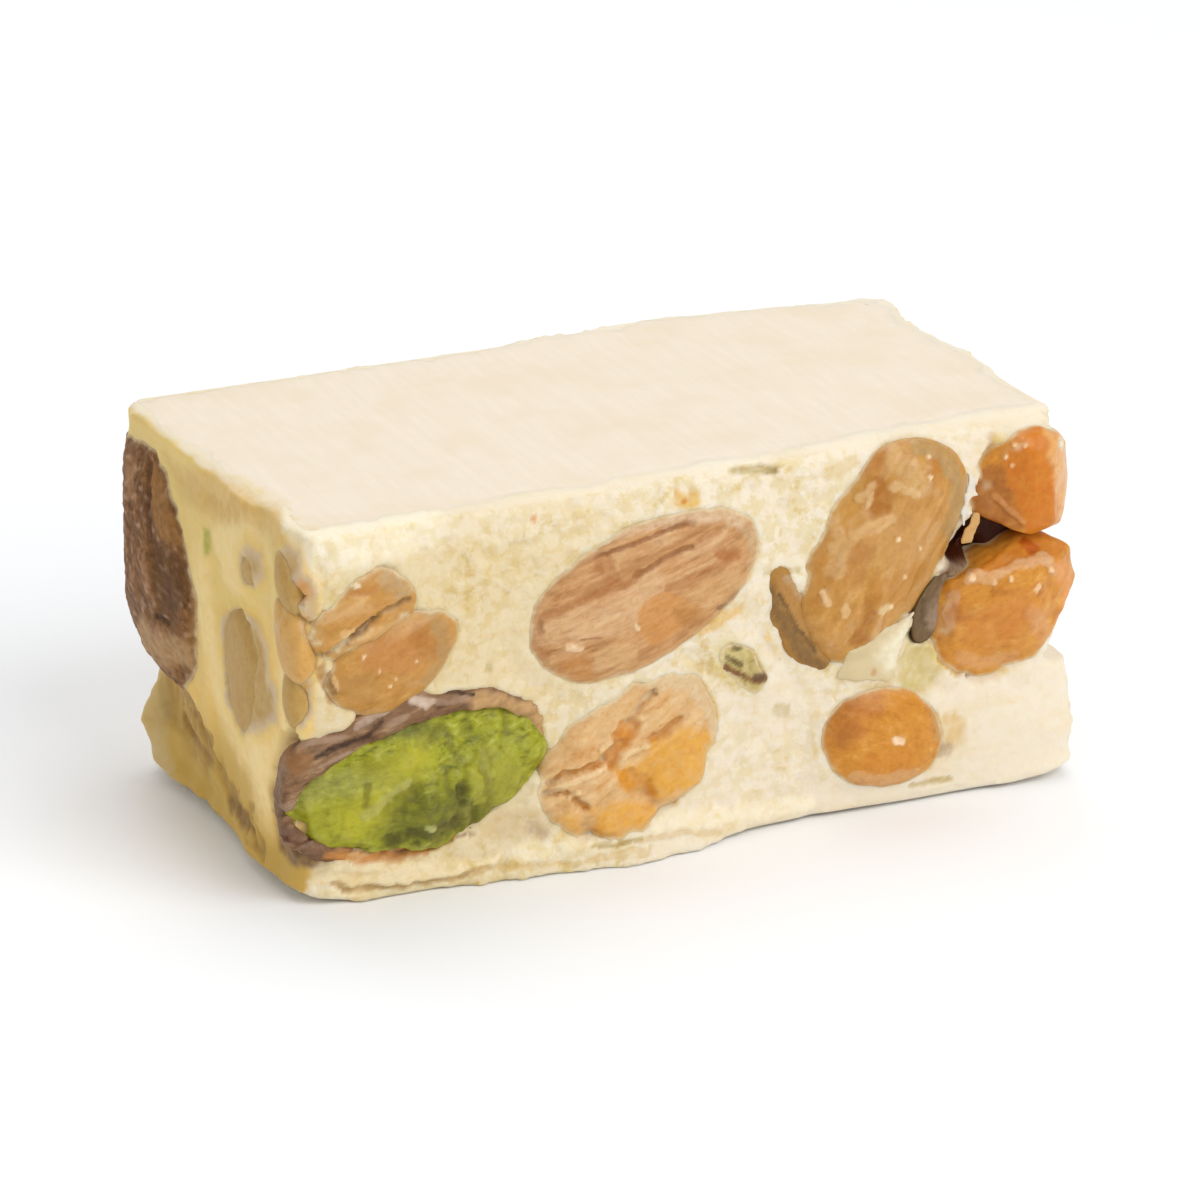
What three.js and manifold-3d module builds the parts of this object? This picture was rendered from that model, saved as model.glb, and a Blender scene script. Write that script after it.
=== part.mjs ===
// A cut bar of soft nougat, full of toasted nuts, between two thin sheets of wafer. It lies on its
// underside. Each nut that shows is a piece of its own, seated in an open pocket of the nougat.
import * as THREE from "three";
import { mergeVertices } from "three/addons/utils/BufferGeometryUtils.js";
import Module from "manifold-3d";

const wasm = await Module();
wasm.setup();

// ---- Driving dimensions, in millimetres: X along the bar, Y from front to back, Z up ----

const LENGTH = 64;
const DEPTH = 33;
const HEIGHT = 29; // from the lifted corners of the underside to the top
const BELLY = 1; // the middle of the underside hangs this far below its corners
const BELLY_FADES = 12; // and the bar is level again this far up

// Where the underside lifts off the floor, as shares of the half length or half depth.
const LIFT_ENDS = { from: 0.82, to: 1.02 };
const LIFT_BACK = { from: 0.7, to: 1 };
const LIFT_FRONT = { from: 0.85, to: 1, high: 0.4 }; // a share of the full lift, on the right half
const LIFT_FRONT_BEGINS = { from: 0.05, to: 0.2 };

const WAFER = 0.6; // thickness of each wafer sheet
const GAP = 0.3; // room between two pieces
const CROSSING = 0.05; // a shared volume, in cubic millimetres, below which two pieces only touch
const HALF = { x: LENGTH / 2, y: DEPTH / 2, z: HEIGHT / 2 };

// How far each corner of the soft bar stands off a true box, as [x, y, z].
const CORNER_OFFSETS = {
  "left front bottom": [-0.3, 0.55, 0],
  "right front bottom": [0.5, -0.75, 0],
  "left back bottom": [0, -0.6, 0],
  "right back bottom": [0, 0, 0],
  "left front top": [0.45, -1.0, -0.4],
  "right front top": [-1.3, 1.1, 0.1],
  "left back top": [-1.5, 1.2, 0],
  "right back top": [0.4, -0.8, 0],
};

// The four sides. Each has its own flat frame: u runs to the right as one faces it, v runs up.
const SIDES = {
  front: { turn: 0, reach: HALF.y },
  right: { turn: Math.PI / 2, reach: HALF.x },
  back: { turn: Math.PI, reach: HALF.y },
  left: { turn: -Math.PI / 2, reach: HALF.x },
};

// Swells (out above 0) and hollows (out below 0) of the sides: centre, half width, half height.
const SWELLS = [
  { side: "front", u: -24.5, v: -0.5, wide: 6.5, high: 3, out: 0.8 },
  { side: "front", u: -12, v: -0.5, wide: 4.5, high: 3, out: 1.9 },
  { side: "front", u: -3, v: -0.5, wide: 6, high: 3, out: 2.3 },
  { side: "front", u: 22, v: 19.8, wide: 2, high: 4, out: -0.8 },
  { side: "front", u: 12, v: 12, wide: 4, high: 2.5, out: 0.5 },
  { side: "left", u: -16.5, v: 8.6, wide: 4.5, high: 3.4, out: -2.4 },
  { side: "left", u: -11.5, v: 5.4, wide: 2.2, high: 2.2, out: -1.4 },
  { side: "left", u: -8.5, v: 2.8, wide: 2.4, high: 1.5, out: -1.2 },
  { side: "left", u: -2.5, v: 1.2, wide: 3.6, high: 1.0, out: -0.7 },
  { side: "left", u: -16, v: 4.4, wide: 3, high: 2.4, out: 2.7 },
  { side: "left", u: 11, v: 8, wide: 6, high: 5, out: 0.5 },
  { side: "right", u: 8.2, v: 29, wide: 2.4, high: 6, out: -1.3 },
  { side: "right", u: -1, v: 28, wide: 6, high: 8, out: 0.5 },
  { side: "right", u: -15.5, v: 26.4, wide: 3, high: 3, out: 2.2 },
  { side: "right", u: -15, v: 10.5, wide: 4, high: 3.2, out: 0.7 },
  { side: "right", u: -15, v: 3.8, wide: 6, high: 4.5, out: 1.3 },
  { side: "right", u: 5, v: 2, wide: 7, high: 3, out: 0.9 },
  { side: "back", u: -12, v: 29, wide: 15, high: 8, out: 2.1 },
  { side: "back", u: -14, v: 3, wide: 7, high: 3, out: 0.9 },
  { side: "back", u: 12, v: 1.5, wide: 8, high: 3, out: 1.2 },
  { side: "back", u: -2, v: 26, wide: 5, high: 4, out: -0.5 },
];

// Soft lumps all over the sides: how wide and how high they are.
const LUMPS = [
  { wide: 5, high: 0.3 },
  { wide: 2.3, high: 0.16 },
];
const ROUNDER_BACK_LEFT = 1.6; // this upright corner has so much more radius than the others
const SIDE_SKIN = 0.55; // the share of the depth below which a side's relief has died out

// ---- Helpers ----

// A smooth random field between -1 and 1 that repeats the same way each run.
function cellValue(i, j, k) {
  const mixed = Math.sin(i * 127.1 + j * 311.7 + k * 74.7) * 43758.5453;
  return 2 * (mixed - Math.floor(mixed)) - 1;
}

function smoothNoise(x, y, z) {
  const cell = [x, y, z].map(Math.floor);
  const ease = [x, y, z].map((value, axis) => {
    const part = value - cell[axis];
    return part * part * (3 - 2 * part);
  });
  let total = 0;
  for (let corner = 0; corner < 8; corner++) {
    const step = [corner & 1, (corner >> 1) & 1, corner >> 2];
    const weight = step.reduce((w, s, axis) => w * (s ? ease[axis] : 1 - ease[axis]), 1);
    total += weight * cellValue(cell[0] + step[0], cell[1] + step[1], cell[2] + step[2]);
  }
  return total;
}

// A fixed stream of random numbers from 0 to 1 for each seed.
function randomStream(seed) {
  let state = seed * 7919 + 17;
  return () => {
    state = (state * 1664525 + 1013904223) % 4294967296;
    return state / 4294967296;
  };
}

function moveVertices(geometry, move) {
  const position = geometry.getAttribute("position");
  const point = new THREE.Vector3();
  for (let i = 0; i < position.count; i++) {
    move(point.fromBufferAttribute(position, i), i);
    position.setXYZ(i, point.x, point.y, point.z);
  }
  geometry.computeVertexNormals();
  return geometry;
}

// One shared vertex at each point, which is what a closed solid needs.
function weld(geometry) {
  geometry.deleteAttribute("normal");
  geometry.deleteAttribute("uv");
  const welded = mergeVertices(geometry, 1e-4);
  welded.computeVertexNormals();
  return welded;
}

function toSolid(geometry) {
  return new wasm.Manifold(
    new wasm.Mesh({
      numProp: 3,
      vertProperties: new Float32Array(geometry.getAttribute("position").array),
      triVerts: new Uint32Array(geometry.index.array),
    }),
  );
}

// The largest body of a solid, without loose scraps.
function toGeometry(solid) {
  const bodies = solid.decompose().sort((a, b) => b.volume() - a.volume());
  const mesh = bodies[0].getMesh();
  const geometry = new THREE.BufferGeometry();
  geometry.setAttribute("position", new THREE.BufferAttribute(mesh.vertProperties, 3));
  geometry.setIndex(new THREE.BufferAttribute(mesh.triVerts, 1));
  geometry.computeVertexNormals();
  return geometry;
}

// ---- The soft form that the nougat and both wafers share ----

function sideFrame(side) {
  const { turn, reach } = SIDES[side];
  const frame = new THREE.Group();
  frame.rotation.set(Math.PI / 2, 0, turn, "ZYX");
  frame.position.set(reach * Math.sin(turn), -reach * Math.cos(turn), 0);
  frame.updateMatrixWorld();
  return frame;
}

const frames = Object.fromEntries(Object.keys(SIDES).map((side) => [side, sideFrame(side)]));

// Moves a point of the true box to its place in the soft bar.
function softForm(point) {
  const along = point.x / HALF.x;
  const across = point.y / HALF.y;
  const up = point.z / HALF.z - 1;
  const nominal = point.clone();

  for (const [corner, offset] of Object.entries(CORNER_OFFSETS)) {
    const [side, face, level] = corner.split(" ");
    const weight =
      ((1 + (side === "right" ? along : -along)) / 2) *
      ((1 + (face === "back" ? across : -across)) / 2) *
      ((1 + (level === "top" ? up : -up)) / 2);
    point.addScaledVector(new THREE.Vector3(...offset), weight);
  }

  const { smoothstep } = THREE.MathUtils;
  const nearFloor = 1 - smoothstep(nominal.z, 0, BELLY_FADES);
  const ramp = (share, { from, to }) => smoothstep(share, from, to);
  const liftFront = LIFT_FRONT.high * ramp(-across, LIFT_FRONT) * ramp(along, LIFT_FRONT_BEGINS);
  const lifts = [ramp(Math.abs(along), LIFT_ENDS), ramp(across, LIFT_BACK), liftFront];
  point.z -= lifts.reduce((drop, lift) => drop * (1 - lift), BELLY * nearFloor);

  for (const [side, frame] of Object.entries(frames)) {
    const outward = new THREE.Vector3(0, 0, 1).transformDirection(frame.matrixWorld);
    const onSide = frame.worldToLocal(nominal.clone());
    const depthShare = 1 + onSide.z / SIDES[side].reach;
    const hold = smoothstep(depthShare, SIDE_SKIN, 1);
    if (hold === 0) continue;
    let out = 0;
    for (const { wide, high } of LUMPS) {
      out += high * smoothNoise(onSide.x / wide, onSide.y / wide, 10 * SIDES[side].turn + wide);
    }
    for (const swell of SWELLS.filter((each) => each.side === side)) {
      const du = (onSide.x - swell.u) / swell.wide;
      const dv = (onSide.y - swell.v) / swell.high;
      out += swell.out * Math.exp(-du * du - dv * dv);
    }
    point.addScaledVector(outward, out * hold);
  }
}

const CROWDING = 1.3; // above 1, a slab's vertices lie closer together towards its edges
const EDGE_TURNS_FROM = 0.85; // share of the half height above which an edge is turned in

// A box whose vertices crowd towards its edges, with rounded upright corners, in the soft form.
function softSlab({ bottom, top, inset, frontInset = 0, segments, cornerRadius, edgeRadius }) {
  const crowd = (share) => Math.sign(share) * (1 - (1 - Math.abs(share)) ** CROWDING);
  const half = new THREE.Vector2(HALF.x - inset, HALF.y - inset);
  const middle = (bottom + top) / 2;
  const box = weld(new THREE.BoxGeometry(2, 2, 2, ...segments));
  return moveVertices(box, (point) => {
    const level = crowd(point.z);
    point.x = half.x * crowd(point.x);
    point.y = half.y * crowd(point.y);
    point.z = middle + (level * (top - bottom)) / 2;

    const radius = cornerRadius + (point.x < 0 && point.y > 0 ? ROUNDER_BACK_LEFT : 0);
    const innerX = THREE.MathUtils.clamp(point.x, -half.x + radius, half.x - radius);
    const innerY = THREE.MathUtils.clamp(point.y, -half.y + radius, half.y - radius);
    const off = new THREE.Vector2(point.x - innerX, point.y - innerY);
    if (off.x !== 0 && off.y !== 0) {
      off.setLength(Math.max(Math.abs(off.x), Math.abs(off.y)));
      point.x = innerX + off.x;
      point.y = innerY + off.y;
    }
    const turned = edgeRadius * THREE.MathUtils.smoothstep(Math.abs(level), EDGE_TURNS_FROM, 1);
    point.x *= 1 - turned / half.x;
    point.y *= 1 - turned / half.y;
    point.y += (frontInset * (half.y - point.y)) / DEPTH;
    softForm(point);
  });
}

// ---- Nuts and nut pieces: length along x, width along y, the side that shows towards +z ----

const PLAIN_KERNEL = { taper: 0.12, boxy: 2, ribs: 0, rough: 0.02, sides: 14, seed: 1 };
const LUMPS_ON_KERNEL = 2.2; // lumps from its middle to its skin
const GROOVE_DEPTH = 0.025; // a rib's groove, as a share of the kernel's half width
const RINGS_PER_SIDE = 0.6;

// A kernel whose widest outline lies at z = 0. It stands proud of it and sinks below it.
// taper narrows the +x end, boxy squares it off, ribs are shallow grooves along it.
function kernel(size) {
  const { length, width, proud, sunk, taper, boxy, ribs, rough, sides, seed } = { ...PLAIN_KERNEL, ...size };
  const rings = Math.round(sides * RINGS_PER_SIDE);
  const ball = weld(new THREE.SphereGeometry(1, sides, rings).rotateZ(Math.PI / 2));
  const grooveDepth = ribs > 0 ? GROOVE_DEPTH : 0;
  return moveVertices(ball, (point) => {
    const { x, y, z } = point;
    const squared = (Math.abs(x) ** boxy + Math.abs(y) ** boxy + Math.abs(z) ** boxy) ** (1 / boxy);
    const place = point.clone().multiplyScalar(LUMPS_ON_KERNEL);
    const lumps = 1 + rough * smoothNoise(place.x + seed * 5, place.y, place.z);
    const grooves = 1 + grooveDepth * Math.cos(ribs * Math.atan2(z, y));
    point.multiplyScalar(lumps / squared);
    const narrowing = (1 - taper * point.x) * grooves;
    point.x *= length / 2;
    point.y *= (width / 2) * narrowing;
    point.z *= (z > 0 ? proud : sunk) * narrowing;
  });
}

// Cuts a kernel flat wherever it stands past a plane, given as its outward direction and distance.
function shave(geometry, planes) {
  return moveVertices(geometry, (point) => {
    for (const { out, at } of planes) {
      const normal = new THREE.Vector3(...out).normalize();
      const past = point.dot(normal) - at;
      if (past > 0) point.addScaledVector(normal, -past);
    }
  });
}

const almond = (size) => kernel({ taper: 0.2, ribs: 7, sides: 13, ...size });
const hazelnut = (size) => kernel({ taper: 0.1, rough: 0.04, sides: 12, ...size });

// One flat-sided half of a split almond.
function almondHalf({ flatAt, ...size }) {
  const whole = kernel({ taper: 0.18, ribs: 5, sides: 12, ...size });
  return shave(whole, [{ out: [0, Math.sign(flatAt), 0], at: Math.abs(flatAt) }]);
}

const BREAK = { near: 0.36, spread: 0.08, slope: 0.7 }; // how far out, as a share of the length

// A broken chunk: squarish, with flat faces broken at random from its sides.
function chunk({ cuts = 4, seed = 1, ...size }) {
  const random = randomStream(seed);
  const planes = Array.from({ length: cuts }, () => {
    const angle = 2 * Math.PI * random();
    const reach = size.length * (BREAK.near + BREAK.spread * random());
    return { out: [Math.cos(angle), Math.sin(angle), BREAK.slope * random()], at: reach };
  });
  return shave(kernel({ boxy: 2.8, rough: 0.06, sides: 12, seed, ...size }), planes);
}

// A thin curl of nut skin: a flat kernel bent along its length.
function curl({ bend, ...size }) {
  return moveVertices(kernel({ taper: 0, sides: 9, ...size }), (point) => {
    point.y += bend * (1 - (2 * point.x / size.length) ** 2);
  });
}

// A crushed almond: two smooth lobes show below strands that run across it.
const STRANDS = { high: 0.35, turn: 2.4, slant: 0.5 }; // turn and slant in radians for each millimetre
const SMOOTH_LOBES = [
  { at: [1.6, -3.0], tilt: 24, length: 6.6, width: 4.8, proud: 1.5, sunk: 3 },
  { at: [-3.4, -3.2], tilt: -30, length: 5.8, width: 3.8, proud: 1.3, sunk: 3 },
];

function crushedAlmond(size) {
  const strands = moveVertices(almond({ rough: 0.1, seed: 4, ...size }), (point) => {
    const lift = STRANDS.high * Math.sin(STRANDS.turn * point.y + STRANDS.slant * point.x);
    if (point.z > 0) point.z += lift * Math.min(1, point.z);
  });
  const joined = SMOOTH_LOBES.reduce((solid, { at, tilt, ...size }) => {
    const lobe = kernel({ taper: 0, sides: 12, ...size });
    lobe.rotateZ(THREE.MathUtils.degToRad(tilt)).translate(...at, 0);
    return solid.add(toSolid(lobe));
  }, toSolid(strands));
  return toGeometry(joined);
}

// A shape with every vertex moved out along its normal, to leave room round a piece.
function grown(geometry, by) {
  const normal = new THREE.Vector3();
  const larger = weld(geometry.clone());
  return moveVertices(larger, (point, i) => {
    normal.fromBufferAttribute(larger.getAttribute("normal"), i);
    point.addScaledVector(normal, by);
  });
}

// ---- The pieces in the nougat: where each sits on its side, its tilt in degrees, and its size ----

// The big broken pistachio, and the jacket of skin round it: an open cup that the kernel sits in.
const PISTACHIO = {
  at: [-22.8, 8.0], tilt: 8,
  length: 20.2, width: 9.6, proud: 2.2, sunk: 4.2, taper: -0.1, boxy: 2.2, rough: 0.05,
};
const PISTACHIO_SKIN = {
  at: [-23.5, 8.6], tilt: 8,
  length: 22.8, width: 12.4, proud: 1.3, sunk: 5.4, taper: 0, rough: 0.05,
};
const SKIN_RIM = 0.8; // how far the cup's rim stands out of the front
const SKIN_END = { out: [-1, 0.14, 0], at: 9.6 }; // the cup is flat where it meets the left end

const PIECES = [
  // front
  {
    name: "almond_centre", side: "front", at: [-4.0, 20.2], tilt: 19, food: "toastedAlmond",
    shape: almond({ length: 20, width: 11.2, proud: 1.7, sunk: 5.2 }),
  },
  {
    name: "pistachio_kernel", side: "front", ...PISTACHIO, food: "pistachio",
    shape: shave(kernel(PISTACHIO), [
      { out: [0.15, 0.25, 1], at: 1.7 },
      { out: [0.3, -0.5, 1], at: 2.3 },
      { out: [-0.3, -0.1, 1], at: 2.2 },
    ]),
  },
  {
    name: "split_almond_upper", side: "front", at: [-26.4, 22.2], tilt: 25, food: "toastedAlmond",
    shape: almondHalf({ length: 9.4, width: 6.6, proud: 1.1, sunk: 3.8, flatAt: -1.6 }),
  },
  {
    name: "split_almond_lower", side: "front", at: [-24.6, 18.2], tilt: 22, food: "toastedAlmond",
    shape: almondHalf({ length: 10.4, width: 6.8, proud: 1.3, sunk: 3.2, flatAt: 2.3 }),
  },
  {
    name: "crushed_almond", side: "front", at: [-5.0, 7.3], tilt: 34, food: "crushedAlmond",
    shape: crushedAlmond({ length: 15.6, width: 11, proud: 1.2, sunk: 4.6 }),
  },
  {
    name: "almond_tall", side: "front", at: [15.9, 20.1], tilt: 57, food: "toastedAlmond",
    shape: shave(almond({ length: 18.4, width: 12, proud: 2.4, sunk: 5.4, ribs: 0, taper: -0.04 }), [
      { out: [-1, 0.25, 0.3], at: 7.9 },
      { out: [0, 0.5, 1], at: 2.2 },
      { out: [0, -0.6, 1], at: 2.0 },
    ]),
  },
  {
    name: "almond_tall_skin", side: "front", at: [9.2, 16.1], tilt: -63, food: "nutSkin",
    shape: curl({ length: 10.6, width: 2.8, proud: 0.6, sunk: 2.4, bend: -0.9 }),
  },
  {
    name: "caramel_nut_upper", side: "front", at: [28.0, 23.6], tilt: 8, food: "caramelNut",
    shape: shave(kernel({ length: 9.4, width: 8.6, proud: 1.4, sunk: 6.5, boxy: 3, rough: 0.05, seed: 3 }), [
      { out: [-0.75, 0.6, 0.4], at: 2.8 },
      { out: [-0.35, -0.2, 1], at: 1.1 },
      { out: [0.9, 0.1, 0.6], at: 3.7 },
      { out: [0.2, -1, 0.5], at: 3.4 },
    ]),
  },
  {
    name: "caramel_nut_lower", side: "front", at: [26.9, 13.8], tilt: 22, food: "caramelNut",
    shape: shave(kernel({ length: 12.6, width: 10, proud: 1.7, sunk: 6.5, boxy: 2.8, rough: 0.05 }), [
      { out: [-0.8, 0.7, 0.5], at: 5.0 },
      { out: [0.1, 1, 0.9], at: 3.9 },
      { out: [1, -0.35, 0.4], at: 5.5 },
      { out: [-0.2, -0.4, 1], at: 1.6 },
    ]),
  },
  {
    name: "caramel_nut_skin", side: "front", at: [20.4, 14.8], tilt: 68, food: "nutSkin",
    shape: curl({ length: 5.4, width: 1.5, proud: 0.4, sunk: 1.8, bend: 0.5 }),
  },
  {
    name: "hazelnut_front", side: "front", at: [16.0, 5.1], tilt: -20, food: "caramelNut",
    shape: hazelnut({ length: 10.4, width: 8.0, proud: 1.9, sunk: 5 }),
  },
  {
    name: "pistachio_chip", side: "front", at: [4.2, 12.8], tilt: -48, food: "nutSkin",
    shape: chunk({ length: 5.2, width: 2.4, proud: 0.6, sunk: 1.8, cuts: 3, seed: 5 }),
  },
  // left end
  {
    name: "dark_almond", side: "left", at: [-10.8, 17.7], tilt: -80, food: "darkSkin",
    shape: almond({ length: 19, width: 14.2, proud: 2.7, sunk: 5, taper: 0.1, ribs: 7 }),
  },
  {
    name: "left_almond_slab", side: "left", at: [5.8, 14.7], tilt: -84, food: "paleNut",
    shape: chunk({ length: 9.4, width: 5.4, proud: 0.45, sunk: 3, cuts: 4, seed: 2 }),
  },
  {
    name: "left_chip_round", side: "left", at: [7.2, 23.2], tilt: 20, food: "paleNut",
    shape: kernel({ length: 3.0, width: 2.7, proud: 0.4, sunk: 1.6, sides: 8 }),
  },
  {
    name: "left_chip_high", side: "left", at: [14.3, 24.4], tilt: -62, food: "paleNut",
    shape: kernel({ length: 4.6, width: 2.4, proud: 0.4, sunk: 1.8, sides: 8 }),
  },
  {
    name: "left_chunk", side: "left", at: [14.9, 20.2], tilt: -70, food: "toastedAlmond",
    shape: chunk({ length: 5.6, width: 3.2, proud: 0.7, sunk: 1.8, cuts: 3, seed: 8 }),
  },
  {
    name: "left_chip_low", side: "left", at: [15.0, 15.8], tilt: -86, food: "paleNut",
    shape: kernel({ length: 4.2, width: 1.9, proud: 0.4, sunk: 1.6, sides: 8 }),
  },
  // right end
  {
    name: "right_almond", side: "right", at: [4.6, 18.6], tilt: 58, food: "toastedAlmond",
    shape: almond({ length: 17, width: 10.4, proud: 1.6, sunk: 5, seed: 12 }),
  },
  {
    name: "right_hazelnut", side: "right", at: [-5.4, 6.6], tilt: 12, food: "caramelNut",
    shape: hazelnut({ length: 9.4, width: 8.4, proud: 1.6, sunk: 4.6, seed: 14 }),
  },
  {
    name: "right_pistachio", side: "right", at: [9.2, 6.0], tilt: -28, food: "pistachio",
    shape: chunk({ length: 8.2, width: 4.8, proud: 0.9, sunk: 3, cuts: 4, seed: 15 }),
  },
  // back
  {
    name: "back_almond_wide", side: "back", at: [-16.5, 19.0], tilt: -17, food: "toastedAlmond",
    shape: almond({ length: 19, width: 10.8, proud: 1.7, sunk: 5, seed: 21 }),
  },
  {
    name: "back_almond_dark", side: "back", at: [4.0, 7.8], tilt: 24, food: "darkSkin",
    shape: almond({ length: 17.6, width: 10, proud: 1.5, sunk: 5, seed: 22 }),
  },
  {
    name: "back_almond_half", side: "back", at: [17.2, 20.2], tilt: 52, food: "toastedAlmond",
    shape: almondHalf({ length: 14.6, width: 9.4, proud: 1.3, sunk: 4.6, flatAt: -3.2, seed: 23 }),
  },
  {
    name: "back_hazelnut", side: "back", at: [-20.6, 6.6], tilt: 8, food: "caramelNut",
    shape: hazelnut({ length: 10.6, width: 9.6, proud: 1.8, sunk: 5, seed: 24 }),
  },
  {
    name: "back_pistachio", side: "back", at: [2.6, 22.0], tilt: -24, food: "pistachio",
    shape: chunk({ length: 12.4, width: 6.6, proud: 1.2, sunk: 4, cuts: 4, seed: 25 }),
  },
  {
    name: "back_caramel_nut", side: "back", at: [21.0, 7.0], tilt: -14, food: "caramelNut",
    shape: chunk({ length: 9.6, width: 8.4, proud: 1.5, sunk: 5, cuts: 5, seed: 26 }),
  },
  {
    name: "back_chip", side: "back", at: [-7.4, 9.6], tilt: -52, food: "nutSkin",
    shape: chunk({ length: 4.6, width: 2.4, proud: 0.6, sunk: 1.8, cuts: 3, seed: 27 }),
  },
];

// The dark hole torn between the two caramel nuts.
const CAVITY = { at: [24.0, 19.0], tilt: 2, length: 8, width: 3, proud: 1.5, sunk: 3.4 };

const FINISHES = {
  nougat: { color: 0xecd9b0, roughness: 0.75 },
  wafer: { color: 0xf3e6d4, roughness: 0.85 },
  toastedAlmond: { color: 0xc99258, roughness: 0.6 },
  crushedAlmond: { color: 0xdfb176, roughness: 0.65 },
  paleNut: { color: 0xb89a62, roughness: 0.5 },
  darkSkin: { color: 0x7d562f, roughness: 0.8 },
  nutSkin: { color: 0x7c5a40, roughness: 0.8 },
  caramelNut: { color: 0xd08236, roughness: 0.35 },
  pistachio: { color: 0xa0a048, roughness: 0.55 },
};

// ---- Assembly ----

const bar = new THREE.Group();

const materials = Object.fromEntries(
  Object.entries(FINISHES).map(([food, finish]) => [food, new THREE.MeshStandardMaterial(finish)]),
);

function addMesh(parent, name, geometry, food) {
  const mesh = new THREE.Mesh(geometry, materials[food]);
  mesh.name = name;
  parent.add(mesh);
  return mesh;
}

function seat(mesh, { at, tilt }) {
  mesh.position.set(at[0], at[1], 0);
  mesh.rotation.z = THREE.MathUtils.degToRad(tilt);
  mesh.updateWorldMatrix(true, false);
  return mesh;
}

// The shape of a seated mesh in the bar's own frame, grown by a clearance.
const seatedShape = (mesh, clearance) => grown(mesh.geometry, clearance).applyMatrix4(mesh.matrixWorld);
const seatedSolid = (mesh, clearance) => toSolid(seatedShape(mesh, clearance));

function addPieces() {
  for (const frame of Object.values(frames)) bar.add(frame);
  return PIECES.map((piece) =>
    seat(addMesh(frames[piece.side], piece.name, piece.shape, piece.food), piece),
  );
}

const wholePistachio = () => shave(kernel(PISTACHIO_SKIN), [SKIN_END]);

// The skin is the whole nut, cut off past its rim, less an open room for the kernel.
function addPistachioSkin(kernelMesh) {
  const { length, width } = PISTACHIO_SKIN;
  const mesh = addMesh(frames.front, "pistachio_skin", wholePistachio(), "nutSkin");
  seat(mesh, PISTACHIO_SKIN);
  const pastRim = weld(new THREE.BoxGeometry(2 * length, 2 * width, width));
  pastRim.translate(0, 0, SKIN_RIM + width / 2);
  const room = grown(kernel({ ...PISTACHIO, proud: width }), GAP);
  room.applyMatrix4(kernelMesh.matrixWorld).applyMatrix4(mesh.matrixWorld.clone().invert());
  const cup = toSolid(mesh.geometry).subtract(toSolid(room)).subtract(toSolid(pastRim));
  mesh.geometry = toGeometry(cup);
  return mesh;
}

// The room that the cup and its kernel take together, as one filled shape.
function pistachioPocket(skinMesh) {
  return toSolid(grown(wholePistachio(), GAP).applyMatrix4(skinMesh.matrixWorld));
}

// Where two pieces would cross, the later one gives way and keeps a gap to the earlier one.
function keepApart(meshes) {
  meshes.forEach((mesh, i) => {
    const toLocal = mesh.matrixWorld.clone().invert();
    for (const earlier of meshes.slice(0, i)) {
      const room = toSolid(seatedShape(earlier, GAP).applyMatrix4(toLocal));
      const own = toSolid(mesh.geometry);
      if (own.intersect(room).volume() > CROSSING) mesh.geometry = toGeometry(own.subtract(room));
    }
  });
}

function cavity() {
  const hole = new THREE.Mesh(kernel({ ...CAVITY, boxy: 2.4, sides: 12 }));
  frames.front.add(hole);
  const solid = seatedSolid(seat(hole, CAVITY), 0);
  frames.front.remove(hole);
  return solid;
}

function addNougat(pieces, extraRooms) {
  const block = softSlab({
    bottom: WAFER + GAP,
    top: HEIGHT - WAFER - GAP,
    inset: 0.15,
    segments: [18, 9, 8],
    cornerRadius: 1.2,
    edgeRadius: 0.35,
  });
  const rooms = pieces.map((mesh) => seatedSolid(mesh, GAP)).concat(extraRooms);
  const nougat = rooms.reduce((solid, room) => solid.subtract(room), toSolid(block));
  return addMesh(bar, "nougat", toGeometry(nougat), "nougat");
}

// A wafer sheet follows the soft form of the bar and keeps clear of the pieces beside it.
function addWafer(name, bottom, frontInset, pieces) {
  const sheet = softSlab({
    bottom,
    top: bottom + WAFER,
    inset: 0,
    frontInset,
    segments: [16, 8, 1],
    cornerRadius: 1.4,
    edgeRadius: 0,
  });
  const rooms = pieces.map((mesh) => seatedSolid(mesh, GAP));
  const clear = rooms.reduce((solid, room) => solid.subtract(room), toSolid(sheet));
  return addMesh(bar, name, toGeometry(clear), "wafer");
}

const pieces = addPieces();
const pistachioKernel = pieces.find((mesh) => mesh.name === "pistachio_kernel");
const pistachioSkin = addPistachioSkin(pistachioKernel);
keepApart([pistachioKernel, pistachioSkin, ...pieces.filter((mesh) => mesh !== pistachioKernel)]);
addNougat(pieces, [pistachioPocket(pistachioSkin), cavity()]);
addWafer("top_wafer", HEIGHT - WAFER, 0.8, pieces);
addWafer("bottom_wafer", 0, 0, pieces);

// The bar's frame has its origin under the middle of the bar, on the surface it rests on.
bar.updateMatrixWorld(true);
const box = new THREE.Box3().setFromObject(bar, true);
const centre = box.getCenter(new THREE.Vector3());
bar.position.set(-centre.x, -centre.y, -box.min.z);

export default bar;
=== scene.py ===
# %% [markdown]
# # A cut bar of soft nougat
# The bar is a block of cream nougat between two thin sheets of wafer, and whole and broken nuts show
# at its cut sides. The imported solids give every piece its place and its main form. This script puts
# the real finish on them: it closes the nougat round the nuts, gives it its aerated crumb, and makes
# each nut a smooth, streaked or broken kernel. All lengths are in metres, so MM turns millimetres into
# them.

# %% The frame and the tools
from types import SimpleNamespace

import bmesh
import bpy
import numpy as np
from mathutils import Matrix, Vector, noise
from mathutils.bvhtree import BVHTree
from mathutils.kdtree import KDTree


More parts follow.
